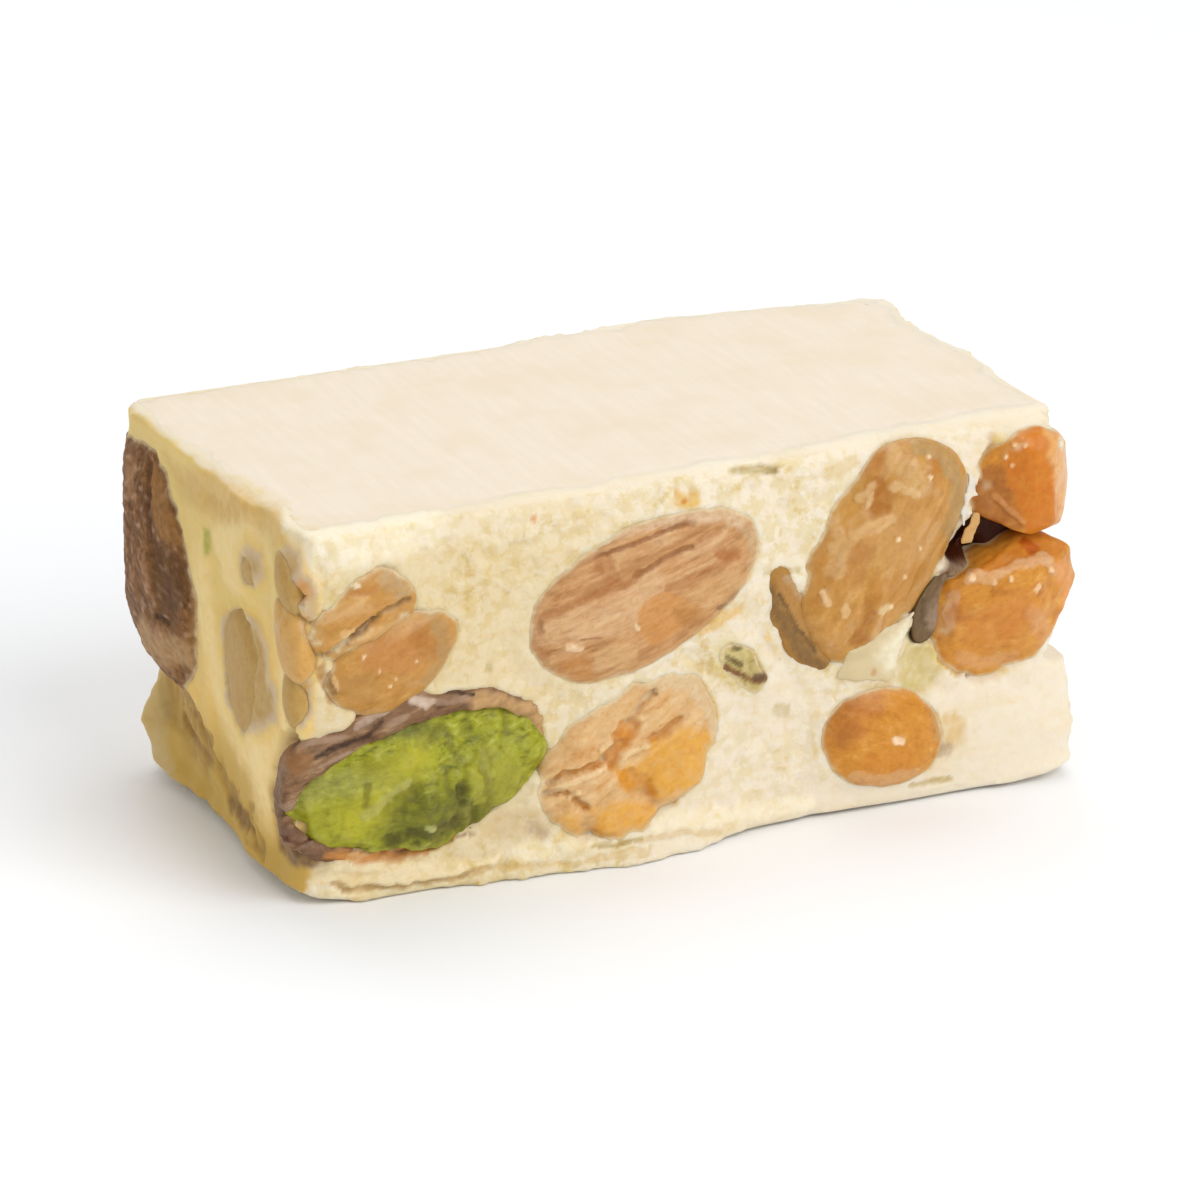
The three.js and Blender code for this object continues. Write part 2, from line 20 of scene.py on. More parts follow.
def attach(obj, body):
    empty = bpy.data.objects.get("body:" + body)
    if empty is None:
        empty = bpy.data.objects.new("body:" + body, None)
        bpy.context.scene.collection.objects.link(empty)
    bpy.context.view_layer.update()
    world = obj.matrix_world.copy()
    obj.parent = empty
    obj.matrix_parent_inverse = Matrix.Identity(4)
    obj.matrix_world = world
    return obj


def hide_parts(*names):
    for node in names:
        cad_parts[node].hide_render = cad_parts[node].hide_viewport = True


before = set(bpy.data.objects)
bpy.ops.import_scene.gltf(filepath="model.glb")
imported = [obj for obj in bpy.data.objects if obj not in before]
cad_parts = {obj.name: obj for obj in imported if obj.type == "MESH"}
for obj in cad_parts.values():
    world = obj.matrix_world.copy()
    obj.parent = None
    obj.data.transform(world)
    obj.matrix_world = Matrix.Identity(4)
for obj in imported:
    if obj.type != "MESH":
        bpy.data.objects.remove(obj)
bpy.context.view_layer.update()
MM = 0.001
NUTS = [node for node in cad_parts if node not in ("nougat", "top_wafer", "bottom_wafer")]

# %% [markdown]
# ## The camera
# A small thing on a table is taken from a little above with a long lens, which keeps its edges almost
# parallel. The camera is placed by two angles and a distance from the middle of the bar. The small
# shift puts the bar a little above the middle of the frame without tilting the lens.

# %% Camera
AZIMUTH = np.radians(-24.7)  # to the left of straight in front
ELEVATION = np.radians(20.68)
DISTANCE = 503.9 * MM
FOCAL_LENGTH = 195  # mm, for a sensor 36 mm wide
AIM = Vector((0.56, 0.27, 15.5)) * MM
IMAGE_SIDE = 1200  # pixels
RAISED = 16.4 / IMAGE_SIDE
MOVED_RIGHT = 1.3 / IMAGE_SIDE

out_of_the_bar = Vector(
    (np.sin(AZIMUTH) * np.cos(ELEVATION), -np.cos(AZIMUTH) * np.cos(ELEVATION), np.sin(ELEVATION))
)
lens = bpy.data.cameras.new("long_lens")
lens.lens = FOCAL_LENGTH
lens.sensor_width = 36
lens.shift_x = -MOVED_RIGHT
lens.shift_y = -RAISED
lens.clip_start = 10 * MM
camera = bpy.data.objects.new("camera", lens)
camera.location = AIM + out_of_the_bar * DISTANCE
camera.rotation_euler = out_of_the_bar.to_track_quat("Z", "Y").to_euler()
bpy.context.scene.collection.objects.link(camera)
bpy.context.scene.camera = camera
bpy.context.scene.view_settings.view_transform = "Standard"
print("camera at, mm:", [round(place / MM) for place in camera.location])

# %% [markdown]
# ## Light and floor
# Cream food looks fresh in bright, soft light. Large softboxes give it: one high at the front right,
# a weaker one over the top and a faint one at the left, so the left end stays a little darker. The
# brightness of each box is what a white card facing it would show, so the boxes can be added up.

# %% Softboxes, room and floor
def softbox(name, azimuth, elevation, brightness, side, distance=0.6):
    """A square light that faces the bar from the given angles, in degrees."""
    lamp = bpy.data.lights.new(name, "AREA")
    lamp.size = side
    lamp.energy = brightness * (np.pi * distance) ** 2
    stand = bpy.data.objects.new(name, lamp)
    turn, rise = np.radians(azimuth), np.radians(elevation)
    aim = Vector((np.sin(turn) * np.cos(rise), -np.cos(turn) * np.cos(rise), np.sin(rise)))
    stand.location = AIM + aim * distance
    stand.rotation_euler = aim.to_track_quat("Z", "Y").to_euler()
    bpy.context.scene.collection.objects.link(stand)


softbox("key_softbox", azimuth=22, elevation=38, brightness=0.62, side=0.45)
softbox("top_softbox", azimuth=150, elevation=72, brightness=0.34, side=0.5)
softbox("left_softbox", azimuth=-75, elevation=25, brightness=0.12, side=0.4)
softbox("back_softbox", azimuth=180, elevation=30, brightness=0.2, side=0.5)

room = bpy.data.worlds.new("pale_room")
room.use_nodes = True
room_light = room.node_tree.nodes["Background"].inputs
room_light["Color"].default_value = (1, 1, 1, 1)
room_light["Strength"].default_value = 0.42
bpy.context.scene.world = room

FLOOR_SIDE = 4.0
FLOOR_COLOUR = (0.95, 0.965, 0.985, 1)
floor_shape = bmesh.new()
bmesh.ops.create_grid(floor_shape, x_segments=1, y_segments=1, size=FLOOR_SIDE / 2)
floor_mesh = bpy.data.meshes.new("floor")
floor_shape.to_mesh(floor_mesh)
floor = bpy.data.objects.new("floor", floor_mesh)
bpy.context.scene.collection.objects.link(floor)
floor_paint = bpy.data.materials.new("pale_floor")
floor_paint.use_nodes = True
floor_shader = floor_paint.node_tree.nodes["Principled BSDF"].inputs
floor_shader["Base Color"].default_value = FLOOR_COLOUR
floor_shader["Roughness"].default_value = 0.9
floor_mesh.materials.append(floor_paint)
print("floor and", len(bpy.data.lights), "softboxes")

# %% [markdown]
# ## Working on points
# A nougat bar has no straight lines: its forms are lumps, pits, streaks and smears. They are easiest
# to make as numbers on the points of a fine, even skin. A solid is copied, closed into small squares
# by a voxel remesh, relaxed until its facets are gone, and then its points are raised or lowered by
# soft noise. The same numbers paint it, so that a pit is also painted a little darker, as painted shade.

# %% Copies of the solids, and an even skin over them
WELD = 0.001 * MM


def merged_copy(nodes, grow=0.0):
    """A bmesh with merged copies of the named solids, each grown outwards by a length."""
    joined = bmesh.new()
    for node in nodes:
        solid = bmesh.new()
        solid.from_mesh(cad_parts[node].data)
        bmesh.ops.remove_doubles(solid, verts=solid.verts, dist=WELD)
        solid.normal_update()
        for point in solid.verts:
            point.co += point.normal * grow
        part = bpy.data.meshes.new(node)
        solid.to_mesh(part)
        solid.free()
        joined.from_mesh(part)
        bpy.data.meshes.remove(part)
    return joined


def even_skin(name, shape, cell):
    """A new object: one closed skin of small squares round everything in the bmesh."""
    rough = bpy.data.meshes.new(name)
    shape.to_mesh(rough)
    shape.free()
    piece = bpy.data.objects.new(name, rough)
    bpy.context.scene.collection.objects.link(piece)
    remesh = piece.modifiers.new("even skin", "REMESH")
    remesh.mode = "VOXEL"
    remesh.voxel_size = cell
    bpy.context.view_layer.update()
    seen = piece.evaluated_get(bpy.context.evaluated_depsgraph_get())
    piece.data = bpy.data.meshes.new_from_object(seen)
    piece.modifiers.clear()
    piece.data.name = name
    bpy.data.meshes.remove(rough)
    return piece


# %% Reading, relaxing and writing points
def read_points(mesh, what="co"):
    values = np.empty(len(mesh.vertices) * 3)
    if what == "co":
        mesh.vertices.foreach_get("co", values)
    else:
        mesh.vertex_normals.foreach_get("vector", values)
    return values.reshape(-1, 3)


def write_points(mesh, points):
    mesh.vertices.foreach_set("co", points.ravel())
    mesh.update()


def relax(mesh, points, rounds, free=None):
    """Moves each free point to the middle of its neighbours, round after round."""
    edges = np.empty(len(mesh.edges) * 2, dtype=np.int32)
    mesh.edges.foreach_get("vertices", edges)
    one, other = edges.reshape(-1, 2).T
    count = np.bincount(edges, minlength=len(points))
    free = np.ones(len(points), bool) if free is None else free
    points = points.copy()
    for _ in range(rounds):
        for axis in range(3):
            place = points[:, axis]
            total = np.bincount(one, place[other], len(points))
            total += np.bincount(other, place[one], len(points))
            points[free, axis] = (total / count)[free]
    return points


# %% Noise and soft edges
SEED_STEP = 19.7  # how far apart two seeds take their noise from, in hills


def hills(places, size, seed=0):
    """Soft noise from about -1 to 1 whose hills are as wide as size, one length or one for each axis."""
    return np.array([noise.noise(place) for place in (places / size + seed * SEED_STEP).tolist()])


def bubbles(places, size, share, seed=0):
    """Round dents from 0 to 1, one in each cell of the given size, in only a share of the cells."""
    depth = np.zeros(len(places))
    for index, place in enumerate((places / size + seed * SEED_STEP).tolist()):
        gaps, seeds = noise.voronoi(place)
        luck = noise.cell(seeds[0] * 7.3)
        if luck < share:
            width = 0.25 + 0.3 * luck / share
            depth[index] = max(0.0, 1.0 - (gaps[0] / width) ** 2)
    return depth


def ease(value, low, high):
    """0 below low, 1 above high and a soft step between."""
    step = np.clip((value - low) / (high - low), 0, 1)
    return step * step * (3 - 2 * step)


def tone(red, green, blue):
    """A colour as a paint chart gives it, 0 to 255, in the linear values that Blender mixes."""
    chart = np.array((red, green, blue)) / 255
    return np.where(chart > 0.04045, ((chart + 0.055) / 1.055) ** 2.4, chart / 12.92)


def line_gap(flat, start, end):
    """How far each flat place is from a straight line between two places."""
    run = end - start
    share = np.clip((flat - start) @ run / max(run @ run, 1e-12), 0, 1)
    return np.linalg.norm(flat - start - share[:, None] * run, axis=1)


def stroke(flat, places, width, soft=0.35):
    """1 along a line through the places, in mm on a face, and 0 beyond its width."""
    corners = [np.array(place) * MM for place in places]
    nearest = np.min([line_gap(flat, *pair) for pair in zip(corners, corners[1:] or corners)], axis=0)
    return 1 - ease(nearest, width / 2 * MM * (1 - soft), width / 2 * MM * (1 + soft))


def area(flat, outline, soft=0.5, grow=0.0):
    """1 inside an outline of places, in mm on a face, and 0 outside, with a soft border."""
    corners = np.array(outline) * MM
    following = np.roll(corners, -1, axis=0)
    inside = np.zeros(len(flat), bool)
    for (x1, y1), (x2, y2) in zip(corners, following):
        spans = (y1 > flat[:, 1]) != (y2 > flat[:, 1])
        inside ^= spans & (flat[:, 0] < x1 + (flat[:, 1] - y1) * (x2 - x1) / ((y2 - y1) or 1))
    nearest = np.min([line_gap(flat, *pair) for pair in zip(corners, following)], axis=0)
    depth = np.where(inside, nearest, -nearest) / MM + grow
    return ease(depth, -soft / 2, soft / 2)


# %% A skin that is being shaped and painted
FRONT, LEFT, RIGHT, BACK, TOP = (0, -1, 0), (-1, 0, 0), (1, 0, 0), (0, 1, 0), (0, 0, 1)
CUT_FACES = {FRONT: 16.23, LEFT: 31.44}  # mm from the middle to the front and the left cut
DEEPEST = 5 * MM  # how far behind a cut face its marks still reach
FLAT_AXES = {FRONT: (0, 2), BACK: (0, 2), LEFT: (1, 2), RIGHT: (1, 2), TOP: (0, 1)}


class Skin:
    """The points of a piece, and the paint on them, while the piece is worked on."""

    def __init__(self, piece):
        self.piece = piece
        self.points = read_points(piece.data)
        self.refresh()
        self.paint = np.zeros((len(self.points), 4))

    def refresh(self):
        write_points(self.piece.data, self.points)
        self.normals = read_points(self.piece.data, "normal")

    def raise_by(self, height):
        """Moves the points outwards by a height in mm."""
        self.points = self.points + self.normals * (np.asarray(height) * MM)[:, None]

    def cover(self, colour, share=1.0):
        """Lays a chart colour over the paint that is there, with one share or one for each point."""
        share = np.clip(share, 0, 1) * np.ones(len(self.points))
        left = self.paint[:, 3] * (1 - share)
        total = share + left
        mixed = tone(*colour) * share[:, None] + self.paint[:, :3] * left[:, None]
        self.paint[:, :3] = mixed / np.maximum(total, 1e-6)[:, None]
        self.paint[:, 3] = total

    def look_at(self, facing):
        """Sets the flat places of the points: where each one shows on its cut face, from the camera."""
        outward = np.array(facing, float)
        self.toward = np.clip(self.normals @ outward + 0.4, 0, 1)
        moved = self.points
        if facing in CUT_FACES:
            sight = np.array(out_of_the_bar)
            proud = self.points @ outward - CUT_FACES[facing] * MM
            moved = self.points - sight * (proud / (sight @ outward))[:, None]
            self.toward *= (proud > -DEEPEST) & (self.normals @ sight > -0.2)
        self.flat = moved[:, FLAT_AXES[facing]]
        broad = np.stack([hills(self.points, 1.1 * MM, seed) for seed in (101, 102)], 1)
        fine = np.stack([hills(self.points, 0.4 * MM, seed) for seed in (103, 104)], 1)
        self.wobble = broad + 0.6 * fine
        self.mottle = 0.72 + 0.28 * ease(hills(self.points, 0.55 * MM, 105), -0.35, 0.25)

    def spot(self, lies, colour, share, press):
        """Paints where something lies, and presses it in or raises it by some mm."""
        lies = lies * (self.toward > 0)
        self.cover(colour, lies * share * self.mottle)
        if press:
            self.raise_by(lies * press)

    def mark(self, colour, width, share, press, *places, ragged=None, soft=None):
        """A stroke or a dab through places in mm on the cut face."""
        ragged = 0.3 * min(width, 1.3) if ragged is None else ragged
        soft = (0.5 if width > 1 else 0.3) if soft is None else soft
        self.spot(stroke(self.flat + self.wobble * ragged * MM, places, width, soft), colour, share, press)

    def patch(self, colour, outline, share=0.9, press=0.0, soft=0.7, ragged=0.35, grow=0.0):
        """A filled shape with an outline in mm on the cut face."""
        self.spot(area(self.flat + self.wobble * ragged * MM, outline, soft, grow), colour, share, press)

    def store(self, name, values):
        """Keeps one number, or three, for each point, for the material to read."""
        many = values.ndim > 1
        kept = self.piece.data.attributes.new(name, "FLOAT_VECTOR" if many else "FLOAT", "POINT")
        kept.data.foreach_set("vector" if many else "value", values.ravel())

    def done(self, node, slot, material):
        """Writes the points and the paint, and puts the piece in the place of its solid, if it has one."""
        write_points(self.piece.data, self.points)
        kept = self.piece.data.color_attributes.new("paint", "FLOAT_COLOR", "POINT")
        kept.data.foreach_set("color", self.paint.ravel())
        self.piece.data.materials.clear()
        self.piece.data.materials.append(material)
        self.piece.data.polygons.foreach_set("use_smooth", [True] * len(self.piece.data.polygons))
        if node:
            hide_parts(node)
        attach(self.piece, "root")
        print(self.piece.name, len(self.piece.data.polygons), "faces")


# %% [markdown]
# ## Materials
# Every material starts from the same plan: tones that noise mixes, then the paint that was laid on the
# points, then a fine bump. Sugar, nuts and wafer all let a little light in, so the shader scatters light
# under the surface. Patterns on nuts read the nut's own length, width and depth, which each nut keeps
# as an attribute, so that its grain runs along it.

# %% Node helpers
def add(tree, kind, settings=None, **inputs):
    """Adds a shader node. An input is a value, or a socket that it is linked to."""
    node = tree.nodes.new("ShaderNode" + kind)
    for name, value in (settings or {}).items():
        setattr(node, name, value)
    for name, value in inputs.items():
        socket = node.inputs[name.replace("_", " ")]
        if isinstance(value, bpy.types.NodeSocket):
            tree.links.new(value, socket)
        else:
            socket.default_value = value
    return node


def linear(colour):
    return (*tone(*colour), 1)


def mix(tree, share, under, over, blend="MIX"):
    """Two colours mixed by a share."""
    node = tree.nodes.new("ShaderNodeMix")
    node.data_type = "RGBA"
    node.blend_type = blend
    for index, value in ((0, share), (6, under), (7, over)):
        if isinstance(value, bpy.types.NodeSocket):
            tree.links.new(value, node.inputs[index])
        else:
            node.inputs[index].default_value = value
    return node.outputs[2]


def between(tree, value, low, high, to_low=0.0, to_high=1.0):
    """A value spread from low..high to to_low..to_high, and held at the ends."""
    node = tree.nodes.new("ShaderNodeMapRange")
    node.interpolation_type = "SMOOTHSTEP"
    tree.links.new(value, node.inputs["Value"])
    for name, number in (("From Min", low), ("From Max", high), ("To Min", to_low), ("To Max", to_high)):
        node.inputs[name].default_value = number
    return node.outputs["Result"]


def scaled(tree, places, size, stretch=(1, 1, 1)):
    """Places measured in grains of size mm, longer along the stretched axes."""
    scale = [1 / (MM * size * longer) for longer in stretch]
    return add(tree, "Mapping", Vector=places, Scale=scale).outputs["Vector"]


def grain(tree, places, size, stretch=(1, 1, 1), detail=4, rough=0.55, twist=0.0):
    """Noise whose grains are size mm wide, stretched along some axes."""
    node = add(tree, "TexNoise", Vector=scaled(tree, places, size, stretch), Scale=1.0, Detail=detail,
               Roughness=rough, Distortion=twist)
    return node.outputs["Fac"]


def new_material(name, roughness, scatter, reach, gloss=0.5, coat=0.0):
    """A principled material, with its places and the paint that its piece carries."""
    material = bpy.data.materials.new(name)
    material.use_nodes = True
    tree = material.node_tree
    shader = tree.nodes["Principled BSDF"]
    shader.inputs["Roughness"].default_value = roughness
    shader.inputs["Subsurface Weight"].default_value = scatter
    shader.inputs["Subsurface Radius"].default_value = [part * MM for part in reach]
    shader.inputs["Subsurface Scale"].default_value = 1.0
    shader.inputs["Specular IOR Level"].default_value = gloss
    shader.inputs["Coat Weight"].default_value = coat
    shader.inputs["Coat Roughness"].default_value = 0.25
    place = add(tree, "TexCoord").outputs["Object"]
    own = add(tree, "Attribute", {"attribute_name": "kernel"}).outputs["Vector"]
    paint = add(tree, "Attribute", {"attribute_name": "paint"})
    return SimpleNamespace(material=material, tree=tree, shader=shader, place=place, own=own, paint=paint)


def finish_material(made, colour, height, strength, depth):
    """Links the colour to the shader, and a height to its bump."""
    made.tree.links.new(colour, made.shader.inputs["Base Color"])
    bump = add(made.tree, "Bump", Height=height, Strength=strength, Distance=depth * MM)
    made.tree.links.new(bump.outputs["Normal"], made.shader.inputs["Normal"])
    return made.material


# %% [markdown]
# ### Nougat
# Soft nougat is egg white, sugar and honey beaten full of air. It is cream, with small soft lumps and a
# few tiny pits. The creases between the lumps and the pits are painted a little warmer and darker, as
# painted shade. The broad colours come as paint on the points. The nodes add the fluff: a warped cell
# pattern gives round tops, and fine noise breaks them up. Where the nougat is smooth, long faint smears
# take over.

# %% Nougat material
def scaled_value(tree, value, factor, plus=0.0):
    """A value times a factor, plus a value."""
    node = add(tree, "Math", {"operation": "MULTIPLY_ADD"})
    for index, number in enumerate((value, factor, plus)):
        if isinstance(number, bpy.types.NodeSocket):
            tree.links.new(number, node.inputs[index])
        else:
            node.inputs[index].default_value = number
    return node.outputs[0]


def nougat_material():
    made = new_material("soft_nougat", roughness=0.55, scatter=0.35, reach=(1.4, 1.0, 0.5), gloss=0.3)
    tree = made.tree
    open_crumb = add(tree, "Attribute", {"attribute_name": "open_crumb"}).outputs["Fac"]
    warp = add(tree, "TexNoise", Vector=scaled(tree, made.place, 0.7), Scale=1.0, Detail=3)
    bent = add(tree, "VectorMath", {"operation": "MULTIPLY_ADD"})
    tree.links.new(warp.outputs["Color"], bent.inputs[0])
    bent.inputs[1].default_value = (1.7, 1.7, 1.7)
    tree.links.new(scaled(tree, made.place, 0.95), bent.inputs[2])
    cells = add(tree, "TexVoronoi", {"feature": "SMOOTH_F1"}, Vector=bent.outputs["Vector"], Scale=1.0)
    cells.inputs["Smoothness"].default_value = 0.6
    fine = grain(tree, made.place, 0.5, detail=4, rough=0.6)
    pits = grain(tree, made.place, 1.1, detail=3, rough=0.5)
    smear = grain(tree, made.place, 1.3, stretch=(5, 5, 1), detail=4)
    # painted shade: the creases between the cells and the tiny pits are multiplied darker and warmer
    creases = scaled_value(tree, between(tree, cells.outputs["Distance"], 0.35, 0.75), open_crumb)
    pit_shade = scaled_value(tree, between(tree, pits, 0.56, 0.7), open_crumb)
    base = mix(tree, creases, made.paint.outputs["Color"], linear((246, 240, 218)), "MULTIPLY")
    base = mix(tree, pit_shade, base, linear((246, 238, 212)), "MULTIPLY")
    base = mix(tree, between(tree, fine, 0.5, 0.8, 0.0, 0.5), base, linear((248, 240, 218)), "MULTIPLY")
    base = mix(tree, between(tree, smear, 0.48, 0.72, 0.0, 0.45), base, linear((250, 241, 220)), "MULTIPLY")
    tops = between(tree, cells.outputs["Distance"], 0.1, 0.8, 1.0, 0.0)
    crumbly = scaled_value(tree, tops, open_crumb, smear)
    height = scaled_value(tree, fine, 0.45, crumbly)
    return finish_material(made, base, height, 0.4, 0.2)


nougat_finish = nougat_material()
print("nougat material ready")

# %% [markdown]
# ## The forms of the nuts
# The nougat closes round the nuts, so their forms come first. A copy of each solid becomes a fine skin
# and is relaxed until its facets are gone, then it is stretched back to the solid's own size. It is also
# widened in the plane of the cut, to fill the thin room that the solids leave round a nut. Broken nuts
# are relaxed less, because they keep their flat faces. The longest direction gives the run of the grain.

# %% A smooth kernel from a solid
FINE, MEDIUM = 0.17, 0.24  # mm between points, on nuts seen close and on the others
WIDER = 0.36 * MM
GRAIN_WAY = np.array((1.0, -0.9, 0.3))  # every nut counts its length in about this direction


def kernel(node, name, cell, rounds, facing):
    """A smooth, fine copy of a nut, with its places along, across and out of its face."""
    skin = Skin(even_skin(name, merged_copy([node]), cell * MM))
    low, high = skin.points.min(0), skin.points.max(0)
    skin.points = relax(skin.piece.data, skin.points, int(rounds * (MEDIUM / cell) ** 2))
    low_now, high_now = skin.points.min(0), skin.points.max(0)
    skin.points = low + (skin.points - low_now) / (high_now - low_now) * (high - low)
    skin.refresh()
    middle = (low + high) / 2
    outward = np.array(facing, float)
    skin.points = skin.points + WIDER * (skin.normals - (skin.normals @ outward)[:, None] * outward)
    skin.refresh()
    spread = (skin.points - middle) - ((skin.points - middle) @ outward)[:, None] * outward
    along = np.linalg.eigh(spread.T @ spread)[1][:, -1]
    along *= np.sign(along @ GRAIN_WAY)
    across = np.cross(outward, along)
    skin.own = (skin.points - middle) @ np.stack((along, across, outward), 1)
    skin.store("kernel", skin.own)
    skin.facing = facing
    return skin


def shave(skin, across, at, rest=0.08):
    """Presses everything beyond a plane towards it. The plane has a direction, and a place in mm."""
    across = np.array(across, float)
    across /= np.linalg.norm(across)
    beyond = np.maximum((skin.points - np.array(at) * MM) @ across, 0)
    skin.points = skin.points - (1 - rest) * beyond[:, None] * across
    skin.refresh()


# %% All nuts: piece name, mm between points, rounds of smoothing, side
FORMS = {
    "almond_centre": ("whole_almond", FINE, 24, FRONT),
    "almond_tall": ("steep_almond", FINE, 18, FRONT),
    "almond_tall_skin": ("curl_of_skin", FINE, 5, FRONT),
    "split_almond_upper": ("almond_half_upper", FINE, 14, FRONT),
    "split_almond_lower": ("almond_half_lower", FINE, 14, FRONT),
    "crushed_almond": ("crushed_kernel", FINE, 6, FRONT),
    "pistachio_kernel": ("broken_pistachio", FINE, 8, FRONT),
    "pistachio_skin": ("pistachio_jacket", FINE, 5, FRONT),
    "pistachio_chip": ("chip_of_pistachio", FINE, 6, FRONT),
    "caramel_nut_upper": ("upper_caramel_nut", FINE, 3, FRONT),
    "caramel_nut_lower": ("lower_caramel_nut", FINE, 3, FRONT),
    "caramel_nut_skin": ("bit_of_skin", FINE, 5, FRONT),
    "hazelnut_front": ("front_hazelnut", FINE, 8, FRONT),
    "dark_almond": ("almond_in_its_skin", FINE, 20, LEFT),
    "left_almond_slab": ("veiled_slab", FINE, 20, LEFT),
    "left_chip_round": ("round_chip", FINE, 12, LEFT),
    "left_chip_high": ("high_chip", FINE, 12, LEFT),
    "left_chip_low": ("low_chip", FINE, 12, LEFT),
    "left_chunk": ("almond_chunk", FINE, 14, LEFT),
    "right_almond": ("right_end_almond", MEDIUM, 24, RIGHT),
    "right_hazelnut": ("right_end_hazelnut", MEDIUM, 8, RIGHT),
    "right_pistachio": ("right_end_pistachio", MEDIUM, 10, RIGHT),
    "back_almond_wide": ("wide_back_almond", MEDIUM, 24, BACK),
    "back_almond_dark": ("dark_back_almond", MEDIUM, 20, BACK),
    "back_almond_half": ("half_back_almond", MEDIUM, 24, BACK),
    "back_hazelnut": ("round_back_nut", MEDIUM, 8, BACK),
    "back_pistachio": ("back_pistachio_kernel", MEDIUM, 10, BACK),
    "back_caramel_nut": ("broken_back_nut", MEDIUM, 4, BACK),
    "back_chip": ("back_chip_of_pistachio", MEDIUM, 6, BACK),
}
nuts = {node: kernel(node, *settings) for node, settings in FORMS.items()}
print(len(nuts), "nut forms")

# %% Flat faces and broken corners
high_nut, low_nut = nuts["caramel_nut_upper"], nuts["caramel_nut_lower"]
shave(high_nut, (-0.68, 0, 0.73), (26.8, -16.5, 28.2))
shave(high_nut, (-0.46, 0, -0.89), (26.9, -15.5, 21.9))
shave(high_nut, (-0.51, -0.86, 0), (28.0, -17.0, 24.6))
shave(high_nut, (0.75, -0.66, 0), (31.0, -17.0, 24.6), rest=0.15)
shave(low_nut, (0, -0.6, 0.8), (27.0, -17.4, 18.6), rest=0.15)
shave(low_nut, (-0.36, 0, 0.93), (23.5, -17.0, 18.3))
shave(low_nut, (-0.25, -0.96, -0.1), (26.6, -17.2, 14.6), rest=0.2)
shave(low_nut, (0.5, -0.85, -0.15), (30.0, -17.2, 15.0), rest=0.2)
shave(low_nut, (0.84, 0, -0.54), (31.5, -17.0, 12.7))
shave(low_nut, (-0.7, -0.7, 0), (23.4, -16.9, 15.0), rest=0.2)
shave(nuts["split_almond_upper"], (-0.85, 0, 0.53), (-29.2, -17.0, 24.4), rest=0.15)
shave(nuts["split_almond_upper"], (0.94, 0, 0.34), (-23.0, -17.0, 25.0), rest=0.2)
dark_nut, skin_bit = nuts["dark_almond"], nuts["caramel_nut_skin"]
high_up = ease(dark_nut.points[:, 2], 18 * MM, 27 * MM)
dark_nut.points[:, 1] += 0.7 * high_up * np.maximum(dark_nut.points[:, 1] - 12 * MM, 0)
near_front = ease(-dark_nut.points[:, 1], -13 * MM, -5 * MM)
near_front *= ease(-dark_nut.points[:, 2], -26 * MM, -17 * MM)
dark_nut.points[:, 1] -= 1.5 * MM * near_front
shave(dark_nut, (-0.91, 0.42, 0), (-32.67, 15.8, 18.0))
shave(dark_nut, (-0.3, 0.3, -0.9), (-33.0, 11.5, 11.9), rest=0.2)
shave(skin_bit, (0.3, -0.95, 0), (20.5, -15.7, 16.0), rest=0.15)
skin_bit.points[:, 0] += 0.35 * (skin_bit.points[:, 0] - skin_bit.points[:, 0].min())
for skin in (dark_nut, skin_bit):
    skin.refresh()

# %% Uneven outlines: how much wider a nut is made and how high its bumps are, in mm
UNEVEN = {
    "split_almond_upper": (0.1, 0.25), "split_almond_lower": (0.25, 0.2), "almond_tall_skin": (0.05, 0.2),
    "pistachio_skin": (0.05, 0.2), "caramel_nut_skin": (0.0, 0.2), "pistachio_chip": (-0.08, 0.4),
    "crushed_almond": (0.0, 0.45), "pistachio_kernel": (0.0, 0.2), "caramel_nut_upper": (0.0, 0.15),
    "caramel_nut_lower": (0.0, 0.15), "almond_tall": (0.0, 0.2), "left_chunk": (0.1, 0.25),
    "left_almond_slab": (0.35, 0.1), "left_chip_low": (0.2, 0.1), "left_chip_high": (0.2, 0.1),
}
for seed, (node, (wider, bumps)) in enumerate(UNEVEN.items()):
    skin = nuts[node]
    skin.points = relax(skin.piece.data, skin.points, 2)
    skin.refresh()
    skin.raise_by(wider + bumps * hills(skin.points, 2.2 * MM, 110 + seed))
    skin.refresh()
for skin in nuts.values():
    skin.look_at(skin.facing)
GREEN_BELLY = ((-23, 8), (-11, 12), (-11, 3), (-23, 3))
green = nuts["pistachio_kernel"]
green.raise_by(0.9 * area(green.flat, GREEN_BELLY, soft=3))
green.refresh()
green.look_at(FRONT)
print("nut forms shaped")

# %% [markdown]
# ## The nougat
# The solid nougat has an open pocket round each nut. In the real bar the nougat clings to the nuts, and
# the cut runs straight through both. So the nougat, the wafer sheets and the nuts, grown a little, are
# joined into one skin. Then only the points that lie over the nuts are relaxed, until they span each
# nut's outline as a soap film spans a ring. The film that covers a nut is sunk just below the nut's
# face. It sinks little by little behind the nut's outline, and not everywhere at the same distance, so
# that the nougat creeps over the rim as it does when a knife smears it.

# %% One skin over nougat and nuts
FILL = 0.35 * MM  # how far the nuts are grown, a little more than the room left round them
SHEET_FILL = 0.2 * MM  # how far the wafer sheets are grown
COARSE = 0.53 * MM
OVER_NUT = 0.3 * MM  # nougat nearer than this to a grown nut lies over it
SPAN_ROUNDS = 500  # enough for the film over the widest nut to settle
UPRIGHT = 0.8  # a face is upright where its normal rises less than this


def mesh_of(name, shape):
    mesh = bpy.data.meshes.new(name)
    shape.to_mesh(mesh)
    shape.free()
    return mesh


def search_tree(shape):
    tree = BVHTree.FromBMesh(shape)
    shape.free()
    return tree


def gaps_to(tree, points):
    """How far each point is from the surfaces in a search tree."""
    return np.array([tree.find_nearest(point)[3] for point in points.tolist()])


